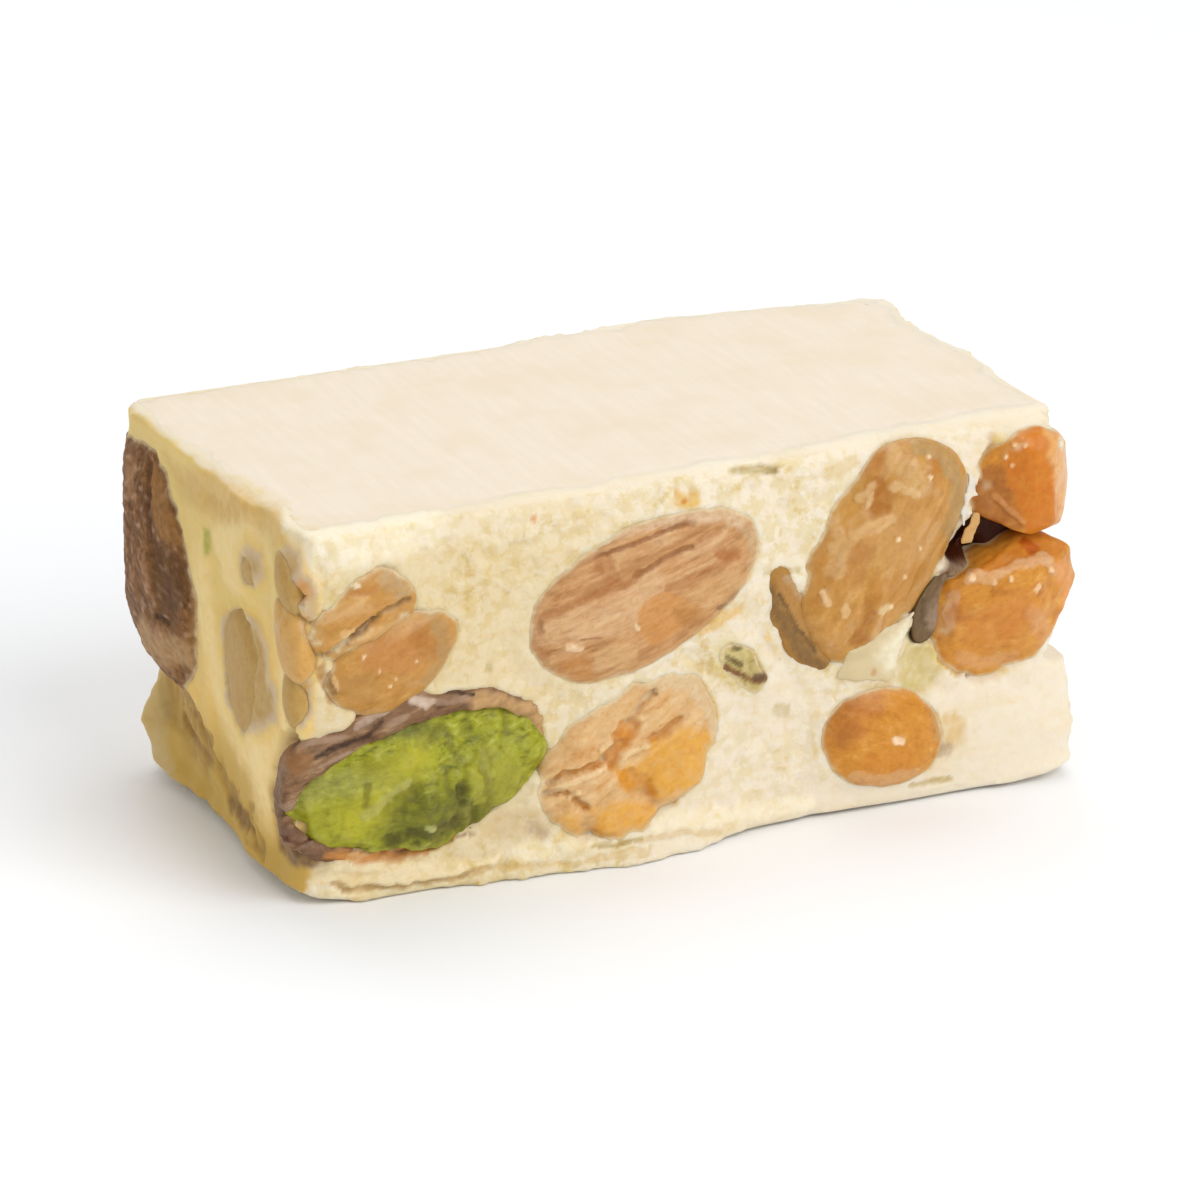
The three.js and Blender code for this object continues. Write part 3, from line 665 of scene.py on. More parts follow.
grown_nuts = search_tree(merged_copy(NUTS, FILL))
all_forms = bmesh.new()
for skin in nuts.values():
    all_forms.from_mesh(skin.piece.data)
formed_nuts = search_tree(all_forms)
joined = merged_copy(["nougat"])
joined.from_mesh(mesh_of("grown nuts", merged_copy(NUTS, FILL)))
joined.from_mesh(mesh_of("grown sheets", merged_copy(["top_wafer", "bottom_wafer"], SHEET_FILL)))
crumb_piece = even_skin("nougat_crumb", joined, COARSE)
points = relax(crumb_piece.data, read_points(crumb_piece.data), 5)
over_nut = gaps_to(grown_nuts, points) < OVER_NUT
spanned = relax(crumb_piece.data, points, SPAN_ROUNDS, over_nut)
write_points(crumb_piece.data, spanned)
print("nougat skin:", len(points), "points,", int(over_nut.sum()), "of them over nuts")

# %% Finer squares on the upright sides
side_shape = bmesh.new()
side_shape.from_mesh(crumb_piece.data)
side_shape.normal_update()
upright = {edge for face in side_shape.faces if abs(face.normal.z) < UPRIGHT for edge in face.edges}
bmesh.ops.subdivide_edges(side_shape, edges=list(upright), cuts=1, use_grid_fill=True)
side_shape.to_mesh(crumb_piece.data)
side_shape.free()
crumb = Skin(crumb_piece)
crumb.points = relax(crumb_piece.data, crumb.points, 3)
crumb.refresh()
print("after refining:", len(crumb.points), "points")

# %% Sink the film below the nuts
UNDER_NUT = 0.4 * MM
REACH_DOWN = 3.2 * MM
CREEP = 0.3 * MM  # how far the nougat creeps over a rim
film_depth = np.full(len(crumb.points), np.nan)
side_ways = np.abs(crumb.normals[:, 2]) < 0.6
close_by = gaps_to(formed_nuts, crumb.points) < REACH_DOWN
for index in np.flatnonzero(close_by & side_ways):
    point, outward = Vector(crumb.points[index]), Vector(crumb.normals[index])
    place, face_normal, _, _ = formed_nuts.find_nearest(point)
    if (point - place).dot(face_normal) < 0:
        film_depth[index] = 0
    else:
        hit = formed_nuts.ray_cast(point, -outward, REACH_DOWN)
        if hit[0] is not None:
            film_depth[index] = hit[3]
covers_nut = ~np.isnan(film_depth)
beside = np.flatnonzero(~covers_nut & close_by)
beside_tree = KDTree(len(beside))
for index in beside:
    beside_tree.insert(crumb.points[index], index)
beside_tree.balance()
behind_rim = np.zeros(len(crumb.points))
behind_rim[covers_nut] = [beside_tree.find(point)[2] for point in crumb.points[covers_nut].tolist()]
ragged_rim = CREEP * (1 + 1.2 * hills(crumb.points, 1.4 * MM, 9))
sunk = ease(behind_rim, ragged_rim, ragged_rim + 0.5 * MM) * covers_nut
crumb.raise_by(-(np.nan_to_num(film_depth) + UNDER_NUT) / MM * sunk)
print("film sunk at", int((sunk > 0.5).sum()), "points")

# %% The hole between the caramel nuts
HOLE = ((22.4, 20.5), (24.4, 22.4), (26.6, 21.7), (28.1, 21.2), (32.5, 21.8), (32.5, 20.6), (25.9, 19.5),
        (23.2, 19.4))
HOLE_DEPTH = 3.0 * MM
crumb.look_at(FRONT)
in_hole = area(crumb.flat, HOLE, soft=0.8, grow=0.4) * (crumb.toward > 0) * (crumb.points[:, 1] < 0)
crumb.points[:, 1] += HOLE_DEPTH * in_hole
crumb.points = relax(crumb_piece.data, crumb.points, 2, (sunk > 0) | (in_hole > 0))
crumb.refresh()

# %% The notch below the lower caramel nut
NOTCH_OUTWARD = np.array((0.91, -0.42, 0))  # sideways out of the front right corner
NOTCH_LOW, NOTCH_HIGH = 9.9 * MM, 15.0 * MM
NOTCH_WALL = 34.2 * MM  # how far out the nougat reaches at the notch's lower end
notch_limit = NOTCH_WALL + 0.6 * np.clip(crumb.points[:, 2] - NOTCH_LOW, 0, 4 * MM)
notch_window = ease(crumb.points[:, 2], NOTCH_LOW - 0.3 * MM, NOTCH_LOW + 0.3 * MM)
notch_window *= 1 - ease(crumb.points[:, 2], NOTCH_HIGH, NOTCH_HIGH + 1.5 * MM)
beyond = np.maximum(crumb.points @ NOTCH_OUTWARD - notch_limit, 0) * notch_window * (crumb.points[:, 1] < 0)
crumb.points = crumb.points - beyond[:, None] * NOTCH_OUTWARD
crumb.points = relax(crumb_piece.data, crumb.points, 2, beyond > 0)
crumb.refresh()
print("notch, mm deep:", round(beyond.max() / MM, 2))

# %% [markdown]
# ### The cut faces
# The front is a knife cut through the aerated mass: soft rounded lumps, pits where air bubbles were
# cut open, and longer smears where the blade dragged. The left end is a waxy, yellower skin that hangs
# in soft folds. The faces that lie away from the viewer get the same crumb.

# %% Relief of the cut faces
def crumb_relief(skin):
    """Lumps, bubble pits and smears, in mm, strongest where the nougat is most open."""
    at, facing = skin.points, skin.normals
    left = ease(-facing[:, 0], 0.3, 0.8)
    upright = 1 - ease(np.abs(facing[:, 2]), 0.5, 0.9)
    smooth_part = ease(at[:, 0] * 0.6 - at[:, 2], -6 * MM, 12 * MM) * ease(-facing[:, 1], 0.2, 0.8)
    open_crumb = ease(hills(at, 9 * MM, 1), -0.5, 0.3)
    rough = upright * (1 - 0.85 * left) * (1 - 0.75 * smooth_part) * (0.4 + 0.6 * open_crumb)
    lumps = np.abs(hills(at, 1.7 * MM, 2)) + 0.6 * np.abs(hills(at, 0.9 * MM, 3))
    pits = bubbles(at, 1.9 * MM, 0.3, 4)
    waves = hills(at, 6 * MM, 5)
    smears = hills(at, np.array((7, 7, 1.3)) * MM, 6)
    folds = hills(at, np.array((2.6, 2.6, 11)) * MM, 7)
    height = rough * (0.4 * lumps - 0.25 * pits)
    height += upright * (0.3 * waves + (1 - left) * (0.1 * smears + 0.15 * hills(at, 2.4 * MM, 8)))
    height += upright * left * 0.36 * folds
    return height, rough


height, rough = crumb_relief(crumb)
near_nut = np.exp(-gaps_to(formed_nuts, crumb.points) / (0.7 * MM))
crumb.raise_by((1 - sunk) * (height * (1 - 0.7 * near_nut) + 0.2 * near_nut))
crumb.refresh()
crumb.store("open_crumb", rough)
print("relief from", round(height.min(), 2), "to", round(height.max(), 2), "mm")

# %% Colours of the cut faces
CREAM = (234, 222, 200)
CRUMB = (226, 208, 170)
HONEY = (230, 200, 124)
OCHRE = (236, 198, 112)
DEEP_OCHRE = (204, 167, 80)


def paint_crumb(skin):
    """Cream at the right, warmer at the left, and honey to ochre down the left end."""
    at, facing = skin.points, skin.normals
    skin.cover(CREAM)
    drift = hills(at, 8 * MM, 11)
    toward_left = ease(-at[:, 0] + 6 * MM * drift, -2 * MM, 18 * MM)
    skin.cover(CRUMB, toward_left)
    skin.cover(CREAM, 0.6 * ease(at[:, 2] + 1.5 * MM * drift, 26 * MM, 29 * MM))
    left = ease(-facing[:, 0] + 0.12 * drift + 0.3 * hills(at, 2 * MM, 13), 0.35, 0.85)
    skin.cover(HONEY, left)
    skin.cover(OCHRE, left * ease(-at[:, 2] + 5 * MM * drift, -26 * MM, -14 * MM))
    skin.cover(DEEP_OCHRE, left * ease(-at[:, 2] + 3 * MM * drift, -11 * MM, -3 * MM))
    near_corner = ease(-at[:, 1] + 2 * MM * drift, 11 * MM, 16 * MM) * ease(at[:, 2], 7 * MM, 13 * MM)
    skin.cover((248, 222, 168), 0.8 * left * near_corner)
    film = near_nut * ease(hills(at, 3 * MM, 12), -0.1, 0.4)
    skin.cover((220, 198, 152), 0.3 * film)


paint_crumb(crumb)

# %% [markdown]
# ### Stains and smears on the nougat
# Oil from the nuts, crumbs of skin and drops of honey leave small stains. Each is a short stroke
# given in mm on the cut face: sideways and up on the front, and towards the back and up on
# the left end. A stroke can also press the nougat in, as along a crease, or raise it, as along a
# fold.

# %% Marks on the front
HONEY_DROP = (222, 178, 84)
OLIVE = (190, 168, 104)
PALE_FILM = (228, 212, 184)

crumb.look_at(FRONT)
crumb.mark(HONEY_DROP, 1.3, 0.9, 0, (-0.5, 28.1), (0.5, 27.8))
crumb.mark((206, 130, 40), 0.5, 0.9, 0, (-0.2, 27.9))
crumb.mark((214, 146, 60), 0.6, 0.9, 0, (-12.6, 28.4))
crumb.mark(HONEY_DROP, 0.9, 0.7, 0, (1.4, 17.2), (3.0, 17.9), (4.3, 18.4))
crumb.mark(HONEY_DROP, 0.9, 0.8, 0, (-30.6, 13.6))
crumb.mark(OLIVE, 0.8, 0.6, -0.1, (-16.2, 17.1))
# painted shade: an olive-tan line pressed in just under the top sheet's edge, where the gap under the sheet
# is in shade
crumb.mark(OLIVE, 0.7, 0.8, -0.35, (4.0, 29.7), (5.6, 29.5), (7.2, 29.2))
crumb.mark(OLIVE, 0.5, 0.6, -0.1, (6.6, 21.0), (9.3, 20.9))
crumb.mark((212, 182, 110), 1.0, 0.6, 0, (11.8, 28.2), (14.0, 28.9))
crumb.mark((206, 176, 104), 1.0, 0.7, 0, (1.2, 14.3), (3.0, 13.6), (4.3, 12.3))
crumb.mark(OLIVE, 1.0, 0.5, 0, (7.8, 9.8), (8.5, 9.6))
OLIVE_FILM = ((19.2, 13.6), (21.6, 13.2), (22.1, 11.1), (20.4, 9.3), (18.6, 9.6), (18.3, 12.1))
SHADED_NOOK = ((22.3, 18.4), (19.5, 16.8), (19.4, 13.8), (20.7, 14.6), (21.8, 16.5))
FLAP = ((19.6, 16.2), (19.4, 15.2), (18.3, 12.8), (17.9, 10.9), (17.3, 10.2), (13.9, 10.8), (12.3, 11.4),
        (13.4, 13.6), (14.7, 13.9), (17.2, 15.4))
WHITE_CORNER = ((-31.5, 30.5), (-20, 30.5), (-20, 27.5), (-24, 27), (-27, 26.5), (-29.5, 27.5), (-31, 28.5))
crumb.patch((204, 184, 112), OLIVE_FILM, 0.8, -0.4, soft=1.2, grow=0.4)
# painted shade: the nook left of the lower caramel nut, behind the flap, is painted dark brown and pressed in
crumb.patch((96, 66, 34), SHADED_NOOK, 0.9, -0.4, grow=0.5)
crumb.patch((224, 204, 168), FLAP, 0.9, 0.2, soft=1.0, ragged=0.2)
crumb.patch((240, 230, 206), WHITE_CORNER, 1.0, 0.1, soft=1.2)
crumb.mark((204, 154, 56), 0.9, 0.9, -0.1, (21.7, 12.6), (22.3, 11.2), (23.1, 10.3))
crumb.mark((220, 206, 150), 3.0, 0.6, 0, (3.4, 15.0), (4.8, 13.4))

# the almond halves reach past their rim, and the jacket thins out below
HALF_TIP = ((-31.6, 19.3), (-31.4, 20.6), (-29.9, 21.6), (-28.6, 22.4), (-27.4, 21.2), (-28.8, 20.2))
JACKET_FOOT = ((-34.1, 9.2), (-33.6, 5.4), (-32.4, 3.9), (-30.8, 3.4), (-28.4, 4.0), (-27.4, 4.6),
               (-28.4, 4.8), (-31.2, 6.2), (-33.0, 8.0))
crumb.patch((208, 166, 114), HALF_TIP, 0.9)
crumb.mark((176, 130, 78), 1.0, 0.9, -0.1, (-29.6, 19.1), (-28.8, 17.0), (-27.8, 16.5))
crumb.patch((128, 98, 72), JACKET_FOOT, 0.95, -0.2, soft=0.5, ragged=0.2)
crumb.mark((110, 82, 56), 2.2, 1.0, -0.7, (-33.4, 9.4), (-32.6, 7.6), (-31.2, 6.2), ragged=0.1)
crumb.mark((204, 134, 60), 0.9, 0.85, 0, (-28.4, 4.3), (-26.4, 3.7), (-24.0, 3.3), (-21.5, 3.5),
           (-19.5, 4.0))

# folds and thin layers of the lip
FOLD = ((-31.2, 2.5), (-28.8, 3.4), (-21.5, 2.6), (-17.0, 1.9), (-15.4, 1.9), (-16.5, 0.8), (-19.5, 0.7),
        (-23.6, 1.0), (-27.6, 1.5))
LOW_CORNER = ((-31.1, 2.5), (-28.4, 1.6), (-26.8, 1.0), (-27.0, 0.1), (-29.2, 0.6), (-30.8, 1.2))
crumb.patch((240, 222, 184), FOLD, 0.8, 0.35, soft=0.5, ragged=0.2)
crumb.patch((240, 226, 198), LOW_CORNER, 0.9, 0.15)
crumb.mark((196, 160, 100), 0.45, 0.7, -0.3, (-29.2, 2.1), (-27.6, 1.2), (-23.6, 0.8), (-19.5, 0.6),
           (-16.5, 1.0), ragged=0.3)
crumb.mark((224, 196, 140), 0.5, 0.6, -0.2, (-15.4, 0.9), (-12.0, 0.4), (-8.0, 0.2), (-3.0, 0.2), ragged=0.4)
crumb.mark((222, 196, 144), 0.5, 0.6, -0.2, (-8.0, 1.3), (-4.0, 1.0), (-0.7, 1.1), (3.1, 0.6), ragged=0.4)
crumb.mark(OLIVE, 0.5, 0.7, -0.1, (-7.6, 1.3), (-5.4, 1.1), (-3.6, 1.1), ragged=0.3)
crumb.mark((250, 238, 208), 1.5, 0.5, 0.1, (-14.0, 1.7), (-6.0, 2.2), (2.0, 2.0), (10.0, 1.6))
crumb.mark((214, 176, 100), 1.7, 0.7, 0, (22.7, 6.2), (23.2, 4.9))
crumb.mark((160, 126, 78), 1.1, 0.7, 0, (21.7, 3.9), (22.3, 4.2))
crumb.mark(OLIVE, 0.5, 0.8, -0.1, (19.4, 1.5), (22.6, 1.6))
crumb.mark((206, 180, 138), 2.4, 0.6, 0, (-15.5, 4.2), (-12.4, 3.8))
crumb.mark((196, 172, 148), 0.9, 0.6, 0, (-12.6, 3.6), (-11.8, 3.1))
crumb.mark(PALE_FILM, 1.5, 0.8, 0.15, (-29.6, 15.0), (-28.2, 14.6))
# painted shade: the hole between the caramel nuts is painted near black-brown, and the dark brown dab just
# below its left end is painted shade too
crumb.cover((78, 32, 12), ease(in_hole, 0.05, 0.4))
crumb.mark((112, 76, 42), 1.2, 0.9, 0, (22.1, 18.8), (23.4, 18.8))
crumb.mark((110, 84, 50), 0.3, 0.8, -0.15, (24.0, 10.0), (25.4, 10.3), (28.2, 10.7), ragged=0.15)
crumb.mark((196, 126, 52), 0.6, 0.8, -0.1, (-25.6, 3.7), (-23.4, 3.4), (-20.6, 3.6))
crumb.mark((120, 76, 34), 0.3, 0.7, -0.1, (-28.0, 4.5), (-25.4, 4.0), (-20.8, 3.7), (-17.5, 4.2), ragged=0.2)
print("front marked")

# %% Marks on the left end
HONEY_MARGIN = ((10.3, 27.6), (6.1, 27.7), (-0.2, 29.6), (-7.3, 30.5), (-13.2, 30.9), (-17.0, 30.2),
                (-15.0, 27.6), (-9.4, 26.7), (-5.1, 26.6), (0.0, 25.7), (6.3, 25.3))
PALE_FLAKE = ((0.7, 24.7), (-7.2, 28.5), (-11.1, 28.3), (-11.4, 26.4), (-4.8, 21.0), (-1.8, 21.5))
GREEN_BIT = ((2.2, 24.4), (0.7, 24.7), (0.8, 22.9), (2.1, 22.1))
CRUMBLY = ((12.7, 8.3), (9.3, 11.2), (4.2, 8.1), (1.8, 5.6), (3.4, 3.8), (7.5, 4.7), (11.8, 5.7))
FOOT = ((20, 10), (12, 9.4), (10.5, 7), (11.5, 3), (8, 0), (20, 0))
WHITE_HANG = ((-20, 32), (-13, 32), (-13.5, 29.5), (-16, 28.4), (-20, 26.5))
VEILED = (  # outline, and the colour in its middle
    (((-5.3, 24.2), (-7.0, 25.8), (-9.6, 26.1), (-9.8, 24.8), (-8.3, 23.8), (-6.0, 23.0)), (186, 154, 98)),
    (((-13.2, 27.0), (-14.4, 28.3), (-16.7, 28.8), (-17.1, 27.4), (-15.9, 26.0), (-13.9, 26.2)),
     (194, 156, 98)),
    (((-15.1, 26.0), (-16.9, 27.3), (-19.5, 26.9), (-19.3, 25.4), (-16.0, 24.6)), (212, 152, 82)),
    (((-12.1, 21.5), (-13.6, 23.5), (-15.4, 24.8), (-19.0, 24.8), (-20.8, 24.2), (-19.7, 22.0), (-16.6, 20.4),
      (-14.2, 19.0), (-12.7, 19.8)), (214, 170, 98)),
    (((-14.6, 18.7), (-16.5, 19.7), (-18.5, 19.4), (-18.0, 16.5), (-16.4, 15.3), (-14.9, 15.7)),
     (204, 158, 86)),
    (((-1.3, 18.2), (-4.3, 19.9), (-8.3, 20.1), (-10.2, 19.0), (-10.4, 16.5), (-11.8, 16.0), (-11.8, 14.2),
      (-8.7, 12.0), (-5.2, 10.8), (-2.3, 12.0)), (190, 153, 84)),
)

crumb.look_at(LEFT)
crumb.patch((216, 180, 110), HONEY_MARGIN, 0.9, soft=1.8)
crumb.mark((206, 160, 84), 1.2, 0.5, 0, (2.0, 27.0), (-2.0, 27.4), (-5.0, 28.6), (-8.0, 28.4), ragged=0.9)
crumb.patch((240, 228, 200), WHITE_HANG, 0.9, 0.1, soft=1.4)
crumb.mark((252, 222, 158), 5.0, 0.8, 0.1, (-12.5, 13.0), (-9.0, 9.8), (-9.5, 7.0), soft=0.8)
crumb.mark((250, 224, 162), 4.0, 0.7, 0.2, (3.0, 20.0), (1.6, 16.4), (-0.8, 12.2), (-4.8, 9.8), (-9.0, 9.4),
           soft=0.8, ragged=0.6)
crumb.patch((246, 220, 160), PALE_FLAKE, 0.6, 0.15, soft=1.5)
for chip_outline, _ in VEILED:
    crumb.patch((232, 192, 84), chip_outline, 0.5, soft=1.4, grow=1.1)
for chip_outline, middle_colour in VEILED:
    crumb.patch((206, 182, 152), chip_outline, 0.95, 0.1, soft=0.7, grow=0.4)
    crumb.patch(middle_colour, chip_outline, 0.95, soft=0.9, grow=-0.4)
crumb.patch((168, 166, 60), GREEN_BIT, 0.9)
crumb.patch((206, 182, 128), FOOT, 0.8, soft=1.6)
crumb.patch((176, 140, 74), CRUMBLY, 0.8, -0.25, soft=1.4)
crumb.mark((150, 112, 56), 1.6, 0.6, -0.3, (10.4, 10.8), (8.3, 9.0), (3.2, 6.8), (-0.8, 4.6), (-4.8, 3.2),
           (-8.2, 2.2), ragged=1.1, soft=0.8)
crumb.mark((142, 100, 40), 0.9, 0.6, -0.25, (3.0, 5.0), (5.5, 5.6), (8.5, 6.6))
crumb.mark((128, 96, 62), 1.3, 0.7, -0.1, (-6.0, 3.2), (-4.0, 3.0), (-1.8, 3.4))
crumb.mark((150, 118, 52), 0.8, 0.6, -0.1, (-6.8, 5.0), (-6.0, 4.6))
crumb.mark((204, 176, 112), 1.6, 0.5, 0.25, (12.0, 7.6), (15.0, 5.4), (17.0, 4.0))
crumb.refresh()

# %% [markdown]
# ## The wafer sheets
# Each sheet is a thin baked starch wafer. Its broad side is smooth and nearly white, and its edges are
# torn, soft and a little wavy, because damp wafer tears where the knife goes through. The damp sheet
# has sunk into the nougat, and the nougat's rounded edge comes up to its level. So the nougat is
# lowered only under the middle of a sheet, and the torn margin of the sheet is laid on the nougat.

# %% Wafer material
def wafer_material():
    made = new_material("wafer", roughness=0.65, scatter=0.25, reach=(1.0, 0.8, 0.5), gloss=0.25)
    tree = made.tree
    brushed = grain(tree, made.place, 0.7, stretch=(1, 9, 1), detail=4)
    cloud = grain(tree, made.place, 6, detail=3)
    streaks = between(tree, brushed, 0.35, 0.7, 0.0, 0.5)
    base = mix(tree, streaks, linear((232, 217, 196)), linear((237, 225, 207)))
    base = mix(tree, between(tree, cloud, 0.42, 0.7, 0.0, 0.6), base, linear((229, 211, 185)))
    base = mix(tree, made.paint.outputs["Alpha"], base, made.paint.outputs["Color"])
    return finish_material(made, base, brushed, 0.2, 0.1)


wafer_finish = wafer_material()

# %% Torn sheets
SHEET_CELL = 0.3 * MM
MARGIN = 4 * MM  # how far in from its edge a sheet is pulled along with the torn edge
THIN = 0.35 * MM  # how far the nougat is lowered under a sheet
SKIN_OVER = 0.05 * MM  # how far a sheet's margin stands above the nougat
LAID, FLAT = 0.8 * MM, 1.4 * MM  # a sheet follows the nougat up to the first, and is flat from the second
OTHER_SHEET = 4 * MM  # nougat further up or down than this lies at the other sheet
WAFER_THICK = 0.6 * MM
PROBE = 5 * MM  # how far over and under a sheet the nougat is looked for


def plan_tree(points):
    """A search tree over points as seen from above."""
    tree = KDTree(len(points))
    for index, (x, y, _) in enumerate(points.tolist()):
        tree.insert((x, y, 0), index)
    tree.balance()
    return tree


def torn_sheet(node, name, seed):
    """A copy of a wafer solid with its edge torn back, and how far each point is from that edge."""
    skin = Skin(even_skin(name, merged_copy([node]), SHEET_CELL))
    skin.points = relax(skin.piece.data, skin.points, 2)
    skin.refresh()
    border = np.flatnonzero(np.abs(skin.normals[:, 2]) < 0.5)
    places, outward = skin.points[border], skin.normals[border, :2]
    outward /= np.linalg.norm(outward, axis=1)[:, None]
    back = (0.7 + 0.7 * hills(places, 3.4 * MM, seed) + 0.4 * hills(places, 1.2 * MM, seed + 1)) * MM
    edge_tree = plan_tree(places)
    found = [edge_tree.find((x, y, 0)) for x, y, _ in skin.points.tolist()]
    nearest = np.array([index for _, index, _ in found])
    inside = np.array([gap for _, _, gap in found])
    share = 1 - ease(inside, 0, MARGIN)
    skin.points[:, :2] -= outward[nearest] * (back[nearest] * share)[:, None]
    skin.refresh()
    return skin, inside


def lower_nougat(skin, inside, up):
    """Lowers the nougat under the middle of a sheet, on the side that looks up (1) or down (-1)."""
    middle = plan_tree(skin.points[inside > LAID])
    for index in np.flatnonzero(crumb.normals[:, 2] * up > 0.7):
        x, y, z = crumb.points[index]
        if abs(z - skin.points[:, 2].mean()) < OTHER_SHEET:
            gap = middle.find((x, y, 0))[2]
            crumb.points[index, 2] -= up * THIN * (1 - ease(np.array(gap), 0.1 * MM, 0.5 * MM))


top_sheet, top_inside = torn_sheet("top_wafer", "wafer_over", 21)
low_sheet, low_inside = torn_sheet("bottom_wafer", "wafer_under", 24)
lower_nougat(top_sheet, top_inside, 1)
lower_nougat(low_sheet, low_inside, -1)
crumb.points[:, 2] = np.maximum(crumb.points[:, 2], 0.02 * MM)
crumb.refresh()
crumb.done("nougat", "nougat", nougat_finish)
nougat_surface = BVHTree.FromObject(crumb_piece, bpy.context.evaluated_depsgraph_get())

# %% Laying the sheets on the nougat
def outer_level(z, lean, up):
    """The height of the sheet's outer side at a point on either of its sides."""
    return z + up * WAFER_THICK * (1 - ease(np.array(up * lean), -0.5, 0.5))


def lay(skin, inside, up):
    """Moves the margin of a sheet up or down until it lies just over the nougat."""
    for index in np.flatnonzero(inside < FLAT):
        x, y, z = skin.points[index]
        hit = nougat_surface.ray_cast(Vector((x, y, z + up * PROBE)), Vector((0, 0, -up)), 2 * PROBE)
        if hit[0] is not None:
            wanted = hit[0].z + up * SKIN_OVER
            weight = 1 - ease(np.array(inside[index]), LAID, FLAT)
            skin.points[index, 2] += (wanted - outer_level(z, skin.normals[index, 2], up)) * weight


lay(top_sheet, top_inside, 1)
lay(low_sheet, low_inside, -1)
low_sheet.points[:, 2] = np.maximum(low_sheet.points[:, 2], 0)
for sheet, inside in ((top_sheet, top_inside), (low_sheet, low_inside)):
    sheet.points = relax(sheet.piece.data, sheet.points, 3, inside < 2 * MM)
    sheet.refresh()
    sheet.look_at(TOP)
top_sheet.cover(CREAM, 0.5 * (1 - ease(top_inside, 0, 1.2 * MM)))
low_sheet.cover(CRUMB, 0.8 * (1 - ease(low_inside, 0, 1.2 * MM)))
top_sheet.mark((224, 200, 146), 3.4, 0.85, 0, (-31.6, -15.5), (-31.4, -9.0), (-31.9, -2.5), ragged=0.8)
top_sheet.mark((222, 196, 138), 1.8, 0.7, 0, (-29.4, -16.6), (-26.5, -16.9), ragged=0.6)
top_sheet.done("top_wafer", "wafer", wafer_finish)
low_sheet.done("bottom_wafer", "wafer", wafer_finish)

# %% [markdown]
# ## The faces of the nuts
# What differs between an almond, a hazelnut and a pistachio is the relief and the paint. Where a nut
# dips under the nougat, a thin film of nougat veils it.

# %% A film of nougat over a rim
def veil(skin, colour, width, share, seed, rim=CRUMB):
    """Paints a film of nougat over the rim of a nut, where it comes out of the nougat."""
    height = gaps_to(nougat_surface, skin.points)
    patchy = 0.4 + 0.6 * ease(hills(skin.points, 2.5 * MM, seed), -0.4, 0.3)
    ragged = height + 0.12 * MM * hills(skin.points, 0.7 * MM, seed + 1)
    skin.cover(colour, share * (1 - ease(ragged, 0, width * MM)) * patchy)
    skin.cover(rim, 0.8 * (1 - ease(ragged, 0.05 * MM, 0.3 * MM)))


# %% Nut materials
def nut_material(name, tones, roughness, scatter, reach, size, stretch, bump,
                 coat=0.0, twist=0.0, ribbed=0.25):
    """A nut's flesh or skin: three tones mixed along its grain, fine ribs and a fine bump."""
    made = new_material(name, roughness, scatter, reach, gloss=0.25, coat=coat)
    tree = made.tree
    dark, middle, pale = (linear(colour) for colour in tones)
    fibres = grain(tree, made.own, size, stretch=stretch, detail=5, rough=0.6, twist=twist)
    clouds = grain(tree, made.own, size * 4, detail=3)
    base = mix(tree, between(tree, fibres, 0.3, 0.52), dark, middle)
    base = mix(tree, between(tree, fibres, 0.5, 0.72), base, pale)
    base = mix(tree, between(tree, clouds, 0.42, 0.66, 0.0, 0.55), base, middle)
    base = mix(tree, made.paint.outputs["Alpha"], base, made.paint.outputs["Color"])
    fine_fibres = grain(tree, made.own, size * 0.7, stretch=stretch, detail=5)
    ribs = between(tree, fine_fibres, 0.38, 0.62, 0.0, ribbed)
    specks = grain(tree, made.own, 0.35, detail=4, rough=0.65)
    base = mix(tree, ribs, base, linear((232, 214, 186)), "MULTIPLY")
    base = mix(tree, between(tree, specks, 0.5, 0.72, 0.0, 0.35), base, linear((222, 198, 160)), "MULTIPLY")
    base = mix(tree, between(tree, specks, 0.3, 0.42, 0.5, 0.0), base, linear((110, 84, 44)), "SCREEN")
    height = scaled_value(tree, specks, 0.5, fibres)
    return finish_material(made, base, height, bump, 0.15)


almond_flesh = nut_material(
    "toasted_almond", ((168, 118, 70), (201, 153, 102), (216, 176, 128)),
    roughness=0.42, scatter=0.25, reach=(1.0, 0.6, 0.3), size=0.5, stretch=(5, 1, 1), bump=0.35, ribbed=0.4)
amber_flesh = nut_material(
    "amber_almond", ((182, 130, 58), (198, 146, 72), (210, 164, 94)),
    roughness=0.34, scatter=0.3, reach=(1.4, 0.8, 0.3), size=0.8, stretch=(2.0, 1, 1), bump=0.3, coat=0.1)
crushed_flesh = nut_material(
    "crushed_almond", ((206, 154, 92), (220, 180, 126), (228, 198, 152)),
    roughness=0.42, scatter=0.3, reach=(1.4, 0.9, 0.4), size=0.8, stretch=(2, 1, 1), bump=0.45)
caramel_flesh = nut_material(
    "caramel_nut", ((188, 118, 34), (208, 142, 48), (222, 166, 82)),
    roughness=0.36, scatter=0.3, reach=(1.4, 0.7, 0.25), size=0.9, stretch=(1.6, 1, 1), bump=0.3, coat=0.1)
dark_bark = nut_material(
    "dark_almond_skin", ((86, 52, 22), (130, 87, 42), (166, 120, 72)),
    roughness=0.55, scatter=0.1, reach=(0.6, 0.3, 0.2), size=0.55, stretch=(1.3, 1, 1), bump=0.9)
thin_skin = nut_material(
    "nut_skin", ((92, 64, 44), (134, 100, 70), (174, 142, 108)),
    roughness=0.6, scatter=0.1, reach=(0.5, 0.3, 0.2), size=0.5, stretch=(4, 1, 1), bump=0.6)
green_flesh = nut_material(
    "pistachio", ((104, 108, 18), (158, 160, 36), (186, 188, 84)),
    roughness=0.38, scatter=0.25, reach=(0.9, 1.0, 0.3), size=0.55, stretch=(2.0, 1, 1), bump=0.6, twist=0.4)
